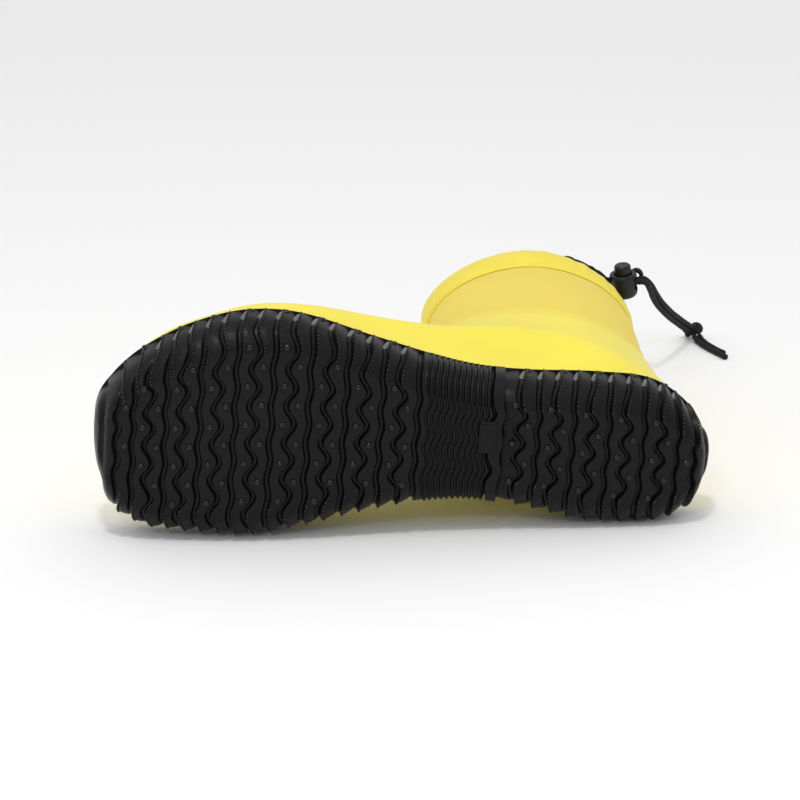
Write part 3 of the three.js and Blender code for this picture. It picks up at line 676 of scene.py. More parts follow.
def make_knit_group():
    """Knitted cloth: small loops as bump, from the sum of a sine wave along each axis, with the loops' height
    also as a mask for painted shade in the hollows."""
    tree, start, end = shader_group(
        "knitted_cloth",
        [("Loops Per Metre", "NodeSocketFloat", 900.0), ("Loop Depth", "NodeSocketFloat", 0.00012)],
        [("Normal", "NodeSocketVector"), ("Hollow Shade", "NodeSocketFloat")])
    place = add(tree, "ShaderNodeTexCoord").outputs["Object"]
    split = add(tree, "ShaderNodeSeparateXYZ", Vector=place)
    waves = []
    for axis in "XYZ":
        loops = compute(tree, "MULTIPLY", split.outputs[axis], start.outputs["Loops Per Metre"])
        waves.append(compute(tree, "SINE", compute(tree, "MULTIPLY", loops, 2 * np.pi)))
    total = compute(tree, "ADD", compute(tree, "ADD", waves[0], waves[1]), waves[2])
    mask = add(tree, "ShaderNodeMapRange", Value=total, From_Min=-2.0, From_Max=2.0)
    bump = add(tree, "ShaderNodeBump", Strength=1.0, Distance=start.outputs["Loop Depth"],
               Height=mask.outputs["Result"])
    tree.links.new(bump.outputs["Normal"], end.inputs["Normal"])
    # The loops' height also goes out as a mask that paints shade: 0 in the hollows, 1 on the loops.
    tree.links.new(mask.outputs["Result"], end.inputs["Hollow Shade"])
    return tree


KNITTED_CLOTH = make_knit_group()


def knit_material(name, low, high, loops, depth):
    """A knitted cloth with painted shade: its hollows are painted darker than its loops."""
    material, tree, shader = new_material(name)
    knit = place_group(tree, KNITTED_CLOTH, Loops_Per_Metre=loops, Loop_Depth=depth)
    # Painted shade: the colour runs from low in the knit's hollows to high on its loops.
    tree.links.new(blend(tree, knit.outputs["Hollow Shade"], low, high), shader.inputs["Base Color"])
    tree.links.new(knit.outputs["Normal"], shader.inputs["Normal"])
    shader.inputs["Roughness"].default_value = 0.9
    shader.inputs["Sheen Weight"].default_value = 0.25
    return material


# Each knit's darker colour is painted shade in its hollows: the footbed cover here, the lining and the seam
# tape below.
footbed_cloth = knit_material("footbed_cloth", (0.12, 0.12, 0.125), (0.22, 0.22, 0.225), 700.0, 0.00014)
cover = grid_mesh("footbed_top_cloth", in_place(footbed_layer(18.5, 19.5, 0.4, 0.7)), around_closed=True)
fit(cover, footbed_cloth, "footbed_cover")


# ---- Foot shell ------------------------------------------------------------------------------------------
# One yellow moulded rubber shell from the toe to the ankle, semi-gloss, with no seam. Each row gives the
# back or bottom point and the front or top point of one section, its half width, where between the two it
# is widest, and how square its two halves are, from the cuff round the heel to the toe.
STATIONS = [
    [152, 225, 39, 225, 36.2, 0.5, 1.82, 1.82], [148.5, 190, 37, 190, 36.4, 0.5, 1.9, 1.9],
    [143.5, 152, 34, 154, 36.7, 0.5, 2.0, 2.0], [140, 118, 28.5, 130, 36.4, 0.5, 2.0, 2.0],
    [137.5, 92, 19, 111, 35.5, 0.48, 2.05, 2.0], [139, 66, 6, 99, 35.5, 0.46, 2.1, 2.1],
    [142, 42, -8, 91, 37, 0.43, 2.15, 2.3], [140, 20, -20, 85, 38, 0.4, 2.2, 2.8],
    [119, 9.6, -30, 81, 40, 0.38, 2.2, 3.1], [84, 9.1, -40, 77, 42.4, 0.36, 2.25, 3.1],
    [44, 9.1, -51, 73, 46, 0.34, 2.3, 3.0], [2, 9.1, -63, 69, 49.3, 0.33, 2.3, 2.9],
    [-38, 9.1, -78, 63.5, 51.2, 0.33, 2.3, 2.7], [-72, 10.7, -94, 56.5, 48, 0.35, 2.3, 2.6],
    [-100, 14.9, -110, 50, 42, 0.38, 2.3, 2.6], [-119, 20.5, -123, 43, 30, 0.42, 2.3, 2.6],
    [-130.5, 32, -130.5, 32, 0, 0.5, 2.3, 2.6],
]
LAST = len(STATIONS) - 1
JOIN = 4
LEG_MIDDLE = -0.5
CUP_INSET = 3.5


def station_column(k, s):
    """One column of the station table at s, as a smooth curve."""
    return through([[i, row[k]] for i, row in enumerate(STATIONS)], s)


def upper_point(s, turn, depth):
    """Point of the upper at station s and angle turn, depth below its outer surface. The section runs from
    its bottom point to its top point by (1 - cos) / 2, and its half width is a blunt oval that is widest
    between the two; below the ankle it is held inside the cup's wall."""
    s, turn, depth = np.broadcast_arrays(np.asarray(s, float), turn, depth)
    ends = []
    before, after = np.maximum(s - 0.02, 0), np.minimum(s + 0.02, LAST)
    low = np.stack([station_column(0, s), station_column(1, s)], -1)
    top = np.stack([station_column(2, s), station_column(3, s)], -1)
    across = top - low
    fade = np.minimum(depth, 0.4 * np.linalg.norm(across, axis=-1))
    for point, k, way in ((low, 0, 1), (top, 2, -1)):
        run = np.stack([station_column(k + j, after) - station_column(k + j, before) for j in (0, 1)], -1)
        run = run / np.maximum(np.linalg.norm(run, axis=-1, keepdims=True), 1e-9)
        normal = np.stack([-run[..., 1], run[..., 0]], -1)
        turn_back = np.sum(normal * across, -1, keepdims=True) * way < 0
        normal = np.where(turn_back, -normal, normal)
        ends.append(point + normal * fade[..., None])
    tip = ease(s, LAST - 1, LAST) * depth
    ends[0][..., 0] += tip
    ends[1][..., 0] += tip
    half = np.maximum(station_column(4, s) - depth, 0)
    wide = station_column(5, s)
    share = (1 - np.cos(turn)) / 2
    x = ends[0][..., 0] * (1 - share) + ends[1][..., 0] * share
    y = ends[0][..., 1] * (1 - share) + ends[1][..., 1] * share
    back = share < wide
    out = np.where(back, 1 - share / wide, (share - wide) / (1 - wide))
    power = np.where(back, station_column(6, s), station_column(7, s))
    free = half * (1 - np.clip(out, 0, 1) ** power) ** (1 / power)
    corner = round_in(CORNER - 3.2, y - lift(x) - BASE - 3.5)
    held = half_width(x, CUP_INSET + depth) - corner + 16 * ease(y, 20, 95) + 60 * ease(y, 60, 120)
    soft = np.clip(0.5 + 0.5 * (held - free) / 3, 0, 1)
    inside = held * (1 - soft) + free * soft - 3 * soft * (1 - soft)
    width = np.where(y > 120, free, np.maximum(inside, 0))
    width = width + side_fill(x, np.sin(turn)) * (1 - ease(y, 24, 58)) * np.clip(width / 15, 0, 1)
    away = ease(y, 20, 95)
    middle = through(CENTRE_LINE, x) * (1 - away) + LEG_MIDDLE * away
    return np.stack([x, y, middle + width * np.sign(np.sin(turn))], -1)


def around(sides):
    """Angles round a section, half a step off the front and back so that no point falls on either."""
    return 2 * np.pi * (np.arange(sides) + 0.5) / sides


def rubber_wave(points, depth):
    """A slow waviness of hand-lasted rubber: three crossed sine waves along the outer surface."""
    x, y, z = np.moveaxis(points, -1, 0)
    return depth * (np.sin(x / 19 + 0.7) * np.sin(y / 23 + z / 31) + 0.5 * np.sin(x / 11 - y / 13 + 1.3)
                    + 0.3 * np.sin((x + y) / 7.3))


def toe_sock(depths, start, rows, sides):
    """Both faces of a closed-toe layer from the toe to its open edge at station start and back to the toe."""
    steps = np.concatenate([LAST - np.array([0, 0.004, 0.015, 0.04, 0.08, 0.14, 0.22, 0.32, 0.45, 0.6, 0.8]),
                            np.linspace(LAST - 1, start, rows)])
    s = np.concatenate([steps, steps[::-1]])[:, None]
    depth = np.concatenate([np.full(len(steps), depths[0]), np.full(len(steps), depths[1])])[:, None]
    return s, depth, around(sides)[None, :]


def make_rubber_group():
    """Yellow rubber, from the glossier foot to the chalkier leg: a mask over a soft line round the ankle, a
    slow drift of tone and roughness, and a fine grain."""
    tree, start, end = shader_group(
        "yellow_rubber",
        [("Foot Colour", "NodeSocketColor", (0.9, 0.72, 0.04, 1)),
         ("Leg Colour", "NodeSocketColor", (0.8, 0.66, 0.1, 1)),
         ("Foot Roughness", "NodeSocketFloat", 0.3), ("Leg Roughness", "NodeSocketFloat", 0.6)],
        [("Colour", "NodeSocketColor"), ("Roughness", "NodeSocketFloat"), ("Normal", "NodeSocketVector")])
    place = add(tree, "ShaderNodeTexCoord").outputs["Object"]
    height = tree.nodes.new("ShaderNodeVectorMath")
    height.operation = "DOT_PRODUCT"
    tree.links.new(place, height.inputs[0])
    height.inputs[1].default_value = (0.159, 1.0, 0.0)
    leg = add(tree, "ShaderNodeMapRange", Value=height.outputs["Value"], From_Min=-0.011, From_Max=0.008)
    leg.interpolation_type = "SMOOTHSTEP"
    tone = add(tree, "ShaderNodeTexNoise", Vector=place, Scale=22.0, Detail=3.0)
    grain = add(tree, "ShaderNodeTexNoise", Vector=place, Scale=1700.0, Detail=2.0)
    mix = blend(tree, leg.outputs["Result"], start.outputs["Foot Colour"], start.outputs["Leg Colour"])
    value = add(tree, "ShaderNodeMapRange", Value=tone.outputs["Fac"], From_Min=0.3, From_Max=0.7,
                To_Min=0.965,
                To_Max=1.02)
    shaded = tree.nodes.new("ShaderNodeHueSaturation")
    tree.links.new(mix, shaded.inputs["Color"])
    tree.links.new(value.outputs["Result"], shaded.inputs["Value"])
    rough = tree.nodes.new("ShaderNodeMix")
    tree.links.new(leg.outputs["Result"], rough.inputs["Factor"])
    tree.links.new(start.outputs["Foot Roughness"], rough.inputs[2])
    tree.links.new(start.outputs["Leg Roughness"], rough.inputs[3])
    drift = add(tree, "ShaderNodeMapRange", Value=tone.outputs["Fac"], To_Min=-0.06, To_Max=0.06)
    rougher = compute(tree, "ADD", rough.outputs[0], drift.outputs["Result"])
    depth = add(tree, "ShaderNodeMapRange", Value=leg.outputs["Result"], To_Min=0.00001, To_Max=0.00003)
    bump = add(tree, "ShaderNodeBump", Strength=1.0, Distance=depth.outputs["Result"],
               Height=grain.outputs["Fac"])
    tree.links.new(shaded.outputs["Color"], end.inputs["Colour"])
    tree.links.new(rougher, end.inputs["Roughness"])
    tree.links.new(bump.outputs["Normal"], end.inputs["Normal"])
    return tree


YELLOW_RUBBER = make_rubber_group()
FOOT_YELLOW = (0.90, 0.765, 0.052)
LEG_YELLOW = (0.84, 0.665, 0.092)


def rubber_material(name):
    """The yellow rubber, as one material for the foot and one for the leg."""
    material, tree, shader = new_material(name)
    rubber = place_group(tree, YELLOW_RUBBER, Foot_Colour=(*FOOT_YELLOW, 1), Leg_Colour=(*LEG_YELLOW, 1),
                         Foot_Roughness=0.36, Leg_Roughness=0.66)
    tree.links.new(rubber.outputs["Colour"], shader.inputs["Base Color"])
    tree.links.new(rubber.outputs["Roughness"], shader.inputs["Roughness"])
    tree.links.new(rubber.outputs["Normal"], shader.inputs["Normal"])
    return material


foot_rubber = rubber_material("yellow_foot_rubber")
foot_s, foot_depth, foot_turn = toe_sock((0, 1.8), JOIN - 0.08, 120, 176)
foot_depth = foot_depth + 0.5 * ease(JOIN + 0.06 - foot_s, 0, 0.14) * (1 - foot_depth / 1.8)
foot_face = upper_point(foot_s, foot_turn, foot_depth)
foot_shell = grid_mesh("foot_shell_rubber", in_place(foot_face), around_closed=True, sharp=60)
fit(foot_shell, foot_rubber, "foot_shell")


# The stiff cap inside the toe.
puff_s, puff_depth, puff_turn = toe_sock((2.1, 3.1), 13.3, 24, 96)
toe_puff = grid_mesh("toe_puff_cap", in_place(upper_point(puff_s, puff_turn, puff_depth)), around_closed=True)
fit(toe_puff, fibre_board, "toe_puff")


# ---- Linings ---------------------------------------------------------------------------------------------
# A pale knitted lining, bonded inside the foot and the leg, and a strip of tape over the leg's back seam.
lining_cloth = knit_material("lining_cloth", (0.46, 0.45, 0.42), (0.68, 0.67, 0.63), 600.0, 0.00016)
sock_s, sock_depth, sock_turn = toe_sock((3.4, 4.6), JOIN, 60, 96)
lining_foot = grid_mesh("lining_foot_cloth", in_place(upper_point(sock_s, sock_turn, sock_depth)),
                        around_closed=True)


def sleeve(depths, start, end, rows, sides):
    """Both faces of a leg layer between two stations, down its outer face and back up its inner one."""
    s = np.linspace(start, end, rows)
    both = np.concatenate([s, s[::-1]])[:, None]
    depth = np.concatenate([np.full(rows, depths[0]), np.full(rows, depths[1])])[:, None]
    return both, depth, around(sides)[None, :]


leg_s, leg_depth, leg_turn = sleeve((3.4, 4.6), 0.7, JOIN - 0.02, 60, 96)
lining_leg = grid_mesh("lining_leg_cloth", in_place(upper_point(leg_s, leg_turn, leg_depth)),
                       along_closed=True,
                       around_closed=True)
for lining, node in ((lining_foot, "lining_foot"), (lining_leg, "lining_leg")):
    fit(lining, lining_cloth, node)
tape_cloth = knit_material("seam_tape_cloth", (0.62, 0.53, 0.17), (0.8, 0.68, 0.24), 1500.0, 0.00005)
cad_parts["seam_tape"].material_slots[0].material = tape_cloth


# ---- Shaft -----------------------------------------------------------------------------------------------
# A thin, chalky rubberised sleeve, paler than the foot. Its lower edge is bonded under the edge of the foot
# shell.
shaft_rubber = rubber_material("yellow_shaft_rubber")
shaft_s, shaft_depth, shaft_turn = sleeve((0, 1.0), 0.55, JOIN + 0.2, 110, 160)
shaft_depth = shaft_depth + 0.9 * ease(shaft_s, JOIN - 0.02, JOIN + 0.16)
shaft_face = upper_point(shaft_s, shaft_turn, shaft_depth)
shaft_face = upper_point(shaft_s, shaft_turn, shaft_depth - rubber_wave(shaft_face, 0.22)
                         * ease(shaft_s, 0.7, 1.2) * (1 - ease(shaft_s, JOIN - 0.8, JOIN - 0.3)))
shaft = grid_mesh("shaft_sleeve", in_place(shaft_face), along_closed=True, around_closed=True)
fit(shaft, shaft_rubber, "shaft")


# ---- Cuff casing -----------------------------------------------------------------------------------------
# A folded tunnel of coated cloth sewn round the mouth, with the drawcord inside it. One row of stitches
# holds its lower edge, and two plastic eyelets at the outer side let the cord out.
CASING_SECTION = [
    [194, -0.75], [200, -1.7], [211, -2.2], [219, -2.1], [224.4, -0.8], [226.4, 1.6], [223.6, 4.7],
                  [203, 4.6],
    [203, 3.6], [221.6, 3.7], [224.8, 1.5], [222.4, 0.1], [216, -0.9], [204, -0.8], [194, 0.15],
]
EYELET_TURNS = [2 * np.pi * 0.15, 2 * np.pi * 0.19]
EYELET = {"y": 225.0, "depth": 0.3}
STITCH_LINE = 196.6
CASING_LOW, CASING_TALL = 194, 32
OUTER_LIFT = 2.6


def cuff_point(turn, y, depth):
    """Point of the cuff at a height: the upper's top sections carried straight up."""
    turn, y, depth = np.broadcast_arrays(turn, y, depth)
    point = upper_point(np.maximum((225 - y) / 35, 0), turn, depth)
    point[..., 1] = y
    return point


def rounded_section(corners, times):
    """A closed outline with its corners cut at a quarter of each side, several times over."""
    outline = np.asarray(corners, float)
    for _ in range(times):
        after = np.roll(outline, -1, axis=0)
        outline = np.stack([0.75 * outline + 0.25 * after, 0.25 * outline + 0.75 * after], 1).reshape(-1, 2)
    return outline


def eyelet_place(turn):
    """The middle of an eyelet's flange and the way that it faces, out of the casing and a little up the
    leg."""
    place = cuff_point(turn, EYELET["y"], EYELET["depth"])
    axis = place - cuff_point(turn, EYELET["y"], 6)
    axis = axis / np.linalg.norm(axis) * 0.62
    axis[1] = 0.78
    return place, axis / np.linalg.norm(axis)


outline = rounded_section(CASING_SECTION, 3)
extra = np.concatenate([turn + np.linspace(-0.12, 0.12, 61) for turn in EYELET_TURNS])
casing_turns = np.unique(np.concatenate([around(200), extra]))
gather = (0.5 * np.sin(casing_turns * 31) + 0.35 * np.sin(casing_turns * 47 + 1) + 0.3
          * np.sin(casing_turns * 17 + 2))
near_eyelets = np.exp(-((casing_turns - 1.07) / 0.75) ** 2)
pucker = gather * (0.12 + 0.3 * near_eyelets)
height, below = outline.T
bulge = np.sin(np.pi * np.clip((height - CASING_LOW) / CASING_TALL, 0, 1)) * (below < 3)
lower_edge = np.exp(-((height - STITCH_LINE) / 0.9) ** 2) * (below < 0)
outer_lift = OUTER_LIFT * np.maximum(np.sin(casing_turns), 0) ** 3
casing_depth = below[None, :] - (pucker + outer_lift)[:, None] * bulge[None, :] + 0.42 * lower_edge[None, :]
casing_face = cuff_point(casing_turns[:, None], height[None, :], casing_depth)
for turn in EYELET_TURNS:
    place, axis = eyelet_place(turn)
    apart = casing_face - place
    along = apart @ axis
    radial = np.linalg.norm(apart - along[..., None] * axis, axis=-1)
    sunk = (1 - ease(radial, 2.6, 3.3)) * (np.abs(along) < 6)
    casing_face = casing_face - axis * (3.2 * sunk)[..., None]
casing = grid_mesh("cuff_casing_cloth", in_place(casing_face), along_closed=True, around_closed=True)


def make_weave_group():
    """Coated plain weave: fine crossed threads under a smooth coating, as a bump; soft folds as a second
    bump, whose height also paints shade, darker in their low parts.
    """
    tree, start, end = shader_group(
        "coated_weave",
        [("Threads Per Metre", "NodeSocketFloat", 1400.0), ("Thread Depth", "NodeSocketFloat", 0.00003)],
        [("Normal", "NodeSocketVector"), ("Fold Shade", "NodeSocketFloat")])
    place = add(tree, "ShaderNodeTexCoord").outputs["Object"]
    split = add(tree, "ShaderNodeSeparateXYZ", Vector=place)
    x, y, z = (compute(tree, "SINE", compute(tree, "MULTIPLY", split.outputs[axis],
                                             start.outputs["Threads Per Metre"]))
               for axis in "XYZ")
    height = compute(tree, "ADD", compute(tree, "ADD", x, y), z)
    bump = add(tree, "ShaderNodeBump", Strength=1.0, Distance=start.outputs["Thread Depth"], Height=height)
    folds = add(tree, "ShaderNodeTexNoise", Vector=place, Scale=90.0, Detail=3.0)
    soft = add(tree, "ShaderNodeBump", Strength=1.0, Distance=0.0004, Height=folds.outputs["Fac"],
               Normal=bump.outputs["Normal"])
    tree.links.new(soft.outputs["Normal"], end.inputs["Normal"])
    # The folds' height goes out as well, to paint shade into their low parts.
    tree.links.new(folds.outputs["Fac"], end.inputs["Fold Shade"])
    return tree


coated_cloth, cloth_tree, cloth_shader = new_material("yellow_coated_cloth")
weave = place_group(cloth_tree, make_weave_group())
# Painted shade: the yellow is darker where the cloth's folds are low and lighter on their crests.
cloth_yellow = blend(cloth_tree, weave.outputs["Fold Shade"], (0.83, 0.67, 0.045), (0.91, 0.76, 0.07))
cloth_tree.links.new(cloth_yellow, cloth_shader.inputs["Base Color"])
cloth_tree.links.new(weave.outputs["Normal"], cloth_shader.inputs["Normal"])
cloth_shader.inputs["Roughness"].default_value = 0.5
fit(casing, coated_cloth, "cuff_casing")

# Stitches: short thread loops that dip into the cloth at both ends, one row round the leg.
stitch_turn = 2 * np.pi * (np.arange(124) + 0.5) / 124
stitch_places = cuff_point(stitch_turn, STITCH_LINE, -0.95)
stitch_along = cuff_point(stitch_turn + 0.01, STITCH_LINE, -0.95) - cuff_point(stitch_turn - 0.01,
                                                                               STITCH_LINE, -0.95)
stitch_out = cuff_point(stitch_turn, STITCH_LINE, -5) - cuff_point(stitch_turn, STITCH_LINE, -1)
run = np.linspace(-1, 1, 7)[:, None]
lap = np.linspace(0, 2 * np.pi, 6, endpoint=False)[None, :]
thread = 0.24 * np.sqrt(np.maximum(1 - run**2, 0)) ** 0.6
stitch = np.stack([1.0 * run + 0 * lap, thread * np.cos(lap), 0.1 - 0.4 * run**4 + thread * np.sin(lap)], -1)
stitches = scatter("cuff_stitches", stitch, stitch_places, stitch_along, stitch_out)
thread_yellow = skin_material("yellow_thread", (0.84, 0.7, 0.08), (0.92, 0.8, 0.12), (0.5, 0.7), 5000.0,
                              0.00004, 0.0)
fit(stitches, thread_yellow)


# ---- Eyelets ---------------------------------------------------------------------------------------------
# Black plastic, each pressed through the cloth from outside: a rolled flange round a short barrel.
lock_plastic = skin_material("black_plastic", (0.0045, 0.0045, 0.005), (0.008, 0.008, 0.0085), (0.34, 0.46),
                             3000.0,
                             0.000015, 0.00005, specular=0.35)
EYELET_PROFILE = [(2.4, -2), (3.4, -2), (3.4, -0.2), (4.4, -0.1), (4.9, 0.1), (5.0, 0.35), (4.85, 0.62),
                  (4.4, 0.85),
                  (3.7, 1.1), (3.1, 1.2), (2.7, 1.1), (2.45, 0.85), (2.4, 0.5), (2.4, -2)]


def standing(profile, sides, place, axis):
    """A turned profile whose own z axis stands along axis at place."""
    axis = np.asarray(axis, float)
    side = np.cross(axis, [0.3, 0.1, 1.0])
    side = side / np.linalg.norm(side)
    return turned(profile, sides) @ np.stack([side, np.cross(axis, side), axis]) + place


for name, turn in zip(("eyelet_rear", "eyelet_front"), EYELET_TURNS):
    eyelet = grid_mesh(name + "_ring", in_place(standing(EYELET_PROFILE, 40, *eyelet_place(turn))),
                       around_closed=True)
    fit(eyelet, lock_plastic, name)


# ---- Drawcord --------------------------------------------------------------------------------------------
# A 3 mm black braided cord. Its two ends leave the eyelets, pass through the lock side by side, lie down to
# the floor and are tied together; the stretch round the cuff is hidden in the casing. These points are in
# the row's frame.
LOCK_AT = np.array([143.2, 123.7, 58.7])
CORD_WAY = np.array([0.93, -0.33, 0.07])
CORD_WAY = CORD_WAY / np.linalg.norm(CORD_WAY)
LOCK_AXIS = np.array([-0.146, -0.135, 0.977])
LOCK_AXIS = LOCK_AXIS - CORD_WAY * (LOCK_AXIS @ CORD_WAY)
LOCK_AXIS = LOCK_AXIS / np.linalg.norm(LOCK_AXIS)
ACROSS = np.cross(CORD_WAY, LOCK_AXIS)
PAIR_TURNED = np.array([-0.59, -0.18, -0.79])
STRAND_OFFSET = 1.6
CORD = 3.0
STRANDS = np.concatenate([LOCK_AT + CORD_WAY * np.array([[-8.8], [-4], [0], [4], [8], [12]]), np.array([
    [158.8, 124.2, 54.6], [163.2, 132.6, 47.6], [168.3, 141.8, 40.6], [174, 150.6, 34.2], [180.4, 162.2,
                                                                                           27.6],
    [187.7, 175.8, 20.8], [194.2, 188.4, 14.8], [199.4, 198.6, 10.2], [202, 203.6, 7.8]])])
out_of_a, out_of_b = ([in_place(place + axis * step) / MM for step in (-0.6, 1.7)]
                      for place, axis in (eyelet_place(turn) for turn in EYELET_TURNS))
START_A = [*out_of_a, [127.0, 117.2, 65.4], [131.2, 121.6, 61.6]]
START_B = [*out_of_b, [117.4, 118.2, 70.6], [124.8, 123.2, 65.4], [130.8, 126.8, 60.4]]
KNOT_AT = np.array([204.9, 208.9, 5.05])
TAIL = np.array([[206.3, 202.2, 3.5], [207.2, 197.2, 2], [208.6, 188, 1.6], [210.7, 178.5, 1.6],
                 [213.1, 169.6, 1.6],
                 [215.4, 161.6, 1.6]])


def strand(start, side):
    """The points of one strand: its own start, then the pair's way, moved aside squarely to it by half the
    pair's spacing. The pair turns from lying across the lock to lying one above the other."""
    before, after = np.vstack([STRANDS[:1], STRANDS[:-1]]), np.vstack([STRANDS[1:], STRANDS[-1:]])
    way = (after - before) / np.linalg.norm(after - before, axis=1, keepdims=True)
    share = ease(np.arange(len(STRANDS)), 5, 8)[:, None]
    beside = ACROSS * (1 - share) + PAIR_TURNED * share
    beside = beside - way * np.sum(beside * way, 1, keepdims=True)
    beside = beside / np.linalg.norm(beside, axis=1, keepdims=True) * side * STRAND_OFFSET
    return np.vstack([start, STRANDS + beside])


def smooth_path(points, spacing):
    """A smooth curve through the points, with its parameter the root of the distance between them, cut into
    even steps of about the spacing."""
    points = np.asarray(points, float)
    knots = np.concatenate([[0], np.cumsum(np.linalg.norm(np.diff(points, axis=0), axis=1) ** 0.5)])
    fine = np.linspace(0, knots[-1], 3000)
    curve = np.stack([through(np.stack([knots, points[:, k]], 1), fine) for k in range(3)], 1)
    length = np.concatenate([[0], np.cumsum(np.linalg.norm(np.diff(curve, axis=0), axis=1))])
    even = np.linspace(0, length[-1], int(round(length[-1] / spacing)) + 1)
    return np.stack([np.interp(even, length, curve[:, k]) for k in range(3)], 1), length[-1]


def braid(path, length, radius, sides, flare=0.0, carriers=8, turn_length=11.0):
    """A braided tube along a path, its ends domed: the radius carries the crests of two crossed sets of
    carriers, cos(n turn + k distance) and cos(n turn - k distance), and may flare over the last few
    millimetres."""
    way = np.gradient(path, axis=0)
    way = way / np.linalg.norm(way, axis=1, keepdims=True)
    first = np.cross(way, [0.25, 0.05, 1.0])
    first = first / np.linalg.norm(first, axis=1, keepdims=True)
    second = np.cross(way, first)
    at = np.linspace(0, length, len(path))[:, None]
    turn = np.linspace(0, 2 * np.pi, sides, endpoint=False)[None, :]
    k = carriers * 2 * np.pi / turn_length
    crest = np.maximum(np.cos(carriers * turn + k * at), np.cos(carriers * turn - k * at))
    size = radius * (0.93 + 0.07 * crest) * (1 + flare * ease(at, length - 3.2, length - 0.4))
    size = size * np.where(at > length - 0.3, 0.93, 1.0)
    body = path[:, None] + size[..., None] * (np.cos(turn)[..., None] * first[:, None]
                                              + np.sin(turn)[..., None] * second[:, None])
    caps = []
    for end, step in ((0, -1), (-1, 1)):
        centre = path[end] + step * way[end] * 0.35
        ring = path[end] + step * way[end] * 0.28 + (body[end] - path[end]) * 0.72
        pole = np.repeat(centre[None], sides, 0)
        caps.append(np.stack([pole, ring] if end == 0 else [ring, pole]))
    return np.concatenate([caps[0], body, caps[1]])


def make_cord_material():
    """Black polyester braid: dark yarn with a fine fibre bump; the same fibre noise varies the yarn's tone
    and paints shade, darker where the bump is low.
    """
    material, tree, shader = new_material("black_braided_cord")
    place = add(tree, "ShaderNodeTexCoord").outputs["Object"]
    fibre = add(tree, "ShaderNodeTexNoise", Vector=place, Scale=4200.0, Detail=2.0)
    bump = add(tree, "ShaderNodeBump", Strength=1.0, Distance=0.00008, Height=fibre.outputs["Fac"])
    # Partly a random fibre tone and partly painted shade: the noise that raises the fibres also lightens
    # them, so the low fibres are darker.
    yarn = blend(tree, fibre.outputs["Fac"], (0.003, 0.003, 0.0033), (0.013, 0.013, 0.014))
    tree.links.new(yarn, shader.inputs["Base Color"])
    tree.links.new(bump.outputs["Normal"], shader.inputs["Normal"])
    shader.inputs["Roughness"].default_value = 0.7
    shader.inputs["Specular IOR Level"].default_value = 0.25
    shader.inputs["Sheen Weight"].default_value = 0.02
    return material


braided_cord = make_cord_material()

# The stretch of cord inside the casing goes the long way round, from one eyelet to the other.
hidden_turns = np.linspace(EYELET_TURNS[1] + 0.1, EYELET_TURNS[0] + 2 * np.pi - 0.1, 320)
hidden_path = cuff_point(hidden_turns, 217.0, 1.3)
hidden_length = np.sum(np.linalg.norm(np.diff(hidden_path, axis=0), axis=1))
hidden_cord = grid_mesh("casing_drawcord", in_place(braid(hidden_path, hidden_length, 1.5, 20)),
                        around_closed=True)
fit(hidden_cord, braided_cord, "casing_cord")


def cord_piece(name, node, points, flare=0.0):
    """A braided cord along these points, in millimetres of the row's frame, with its path and length in
    metres."""
    path, length = smooth_path(points, 0.32)
    piece = grid_mesh(name, braid(path, length, 1.08 * CORD / 2, 32, flare) * MM, around_closed=True)
    fit(piece, braided_cord, node)
    return piece, (path[::12] if (len(path) - 1) % 12 == 0
                   else np.vstack([path[::12], path[-1:]])) * MM, length * MM


strand_a, path_a, length_a = cord_piece("drawcord_strand_a", "cord_strand_a", strand(START_A, 1))
strand_b, path_b, length_b = cord_piece("drawcord_strand_b", "cord_strand_b", strand(START_B, -1))
tail_a, tail_path_a, tail_length_a = cord_piece("drawcord_tail_a", "cord_tail_a", TAIL + [-1.65, -0.4, 0],
                                                0.1)
tail_b, tail_path_b, tail_length_b = cord_piece("drawcord_tail_b", "cord_tail_b",
                                                TAIL[:-1] + [1.65, 0.4, 0], 0.1)

# The knot: the pair tied in one overhand knot, pulled tight. Its way is a three-lobed loop that passes over
# and under itself, with the pair side by side along it.
t = np.linspace(0, 2 * np.pi, 360, endpoint=False)
loop = np.stack([np.sin(t) + 2 * np.sin(2 * t), np.cos(t) - 2 * np.cos(2 * t), -1.15 * np.sin(3 * t)], 1)
loop = loop * np.array([1.62, 1.62, 1.5])
tilt = np.array([[0.86, 0.5, 0.1], [-0.45, 0.82, -0.35], [-0.26, 0.27, 0.93]])
tilt, _ = np.linalg.qr(tilt.T)
loop = loop @ tilt.T + KNOT_AT + [0, 0, 0.6]
way = np.roll(loop, -1, 0) - np.roll(loop, 1, 0)
way = way / np.linalg.norm(way, axis=1, keepdims=True)
first = np.cross(way, tilt[:, 2])
first = first / np.linalg.norm(first, axis=1, keepdims=True)
second = np.cross(way, first)
lap = np.linspace(0, 2 * np.pi, 32, endpoint=False)[None, :]
crest = np.maximum(np.cos(8 * lap + 24 * t[:, None]), np.cos(8 * lap - 24 * t[:, None]))
size = 2.0 * (0.94 + 0.06 * crest)
knot_face = loop[:, None] + size[..., None] * (np.cos(lap)[..., None] * first[:, None]
                                               + np.sin(lap)[..., None] * second[:, None])
knot = grid_mesh("drawcord_knot", knot_face * MM, along_closed=True, around_closed=True)
fit(knot, braided_cord, "cord_knot")


# ---- Cord lock -------------------------------------------------------------------------------------------
# A round black plastic barrel with a spring-loaded plunger. A slot through both takes the two cord ends,
# and the spring pinches them. A small eye stands at the side, away from the tread.
LOCK = {"low": -9.4, "travel": 3, "slot_high": 1.8, "slot_wide": 3.7}
EYE_AT = np.array([6.8, -5.6, 1.0])
LOCK_TURN = np.stack([CORD_WAY, ACROSS, LOCK_AXIS])


def in_lock(points):
    """Lock frame, with x along the cord, y across it and z along the plunger, to the row's frame in
    metres."""
    return (points @ LOCK_TURN + LOCK_AT) * MM


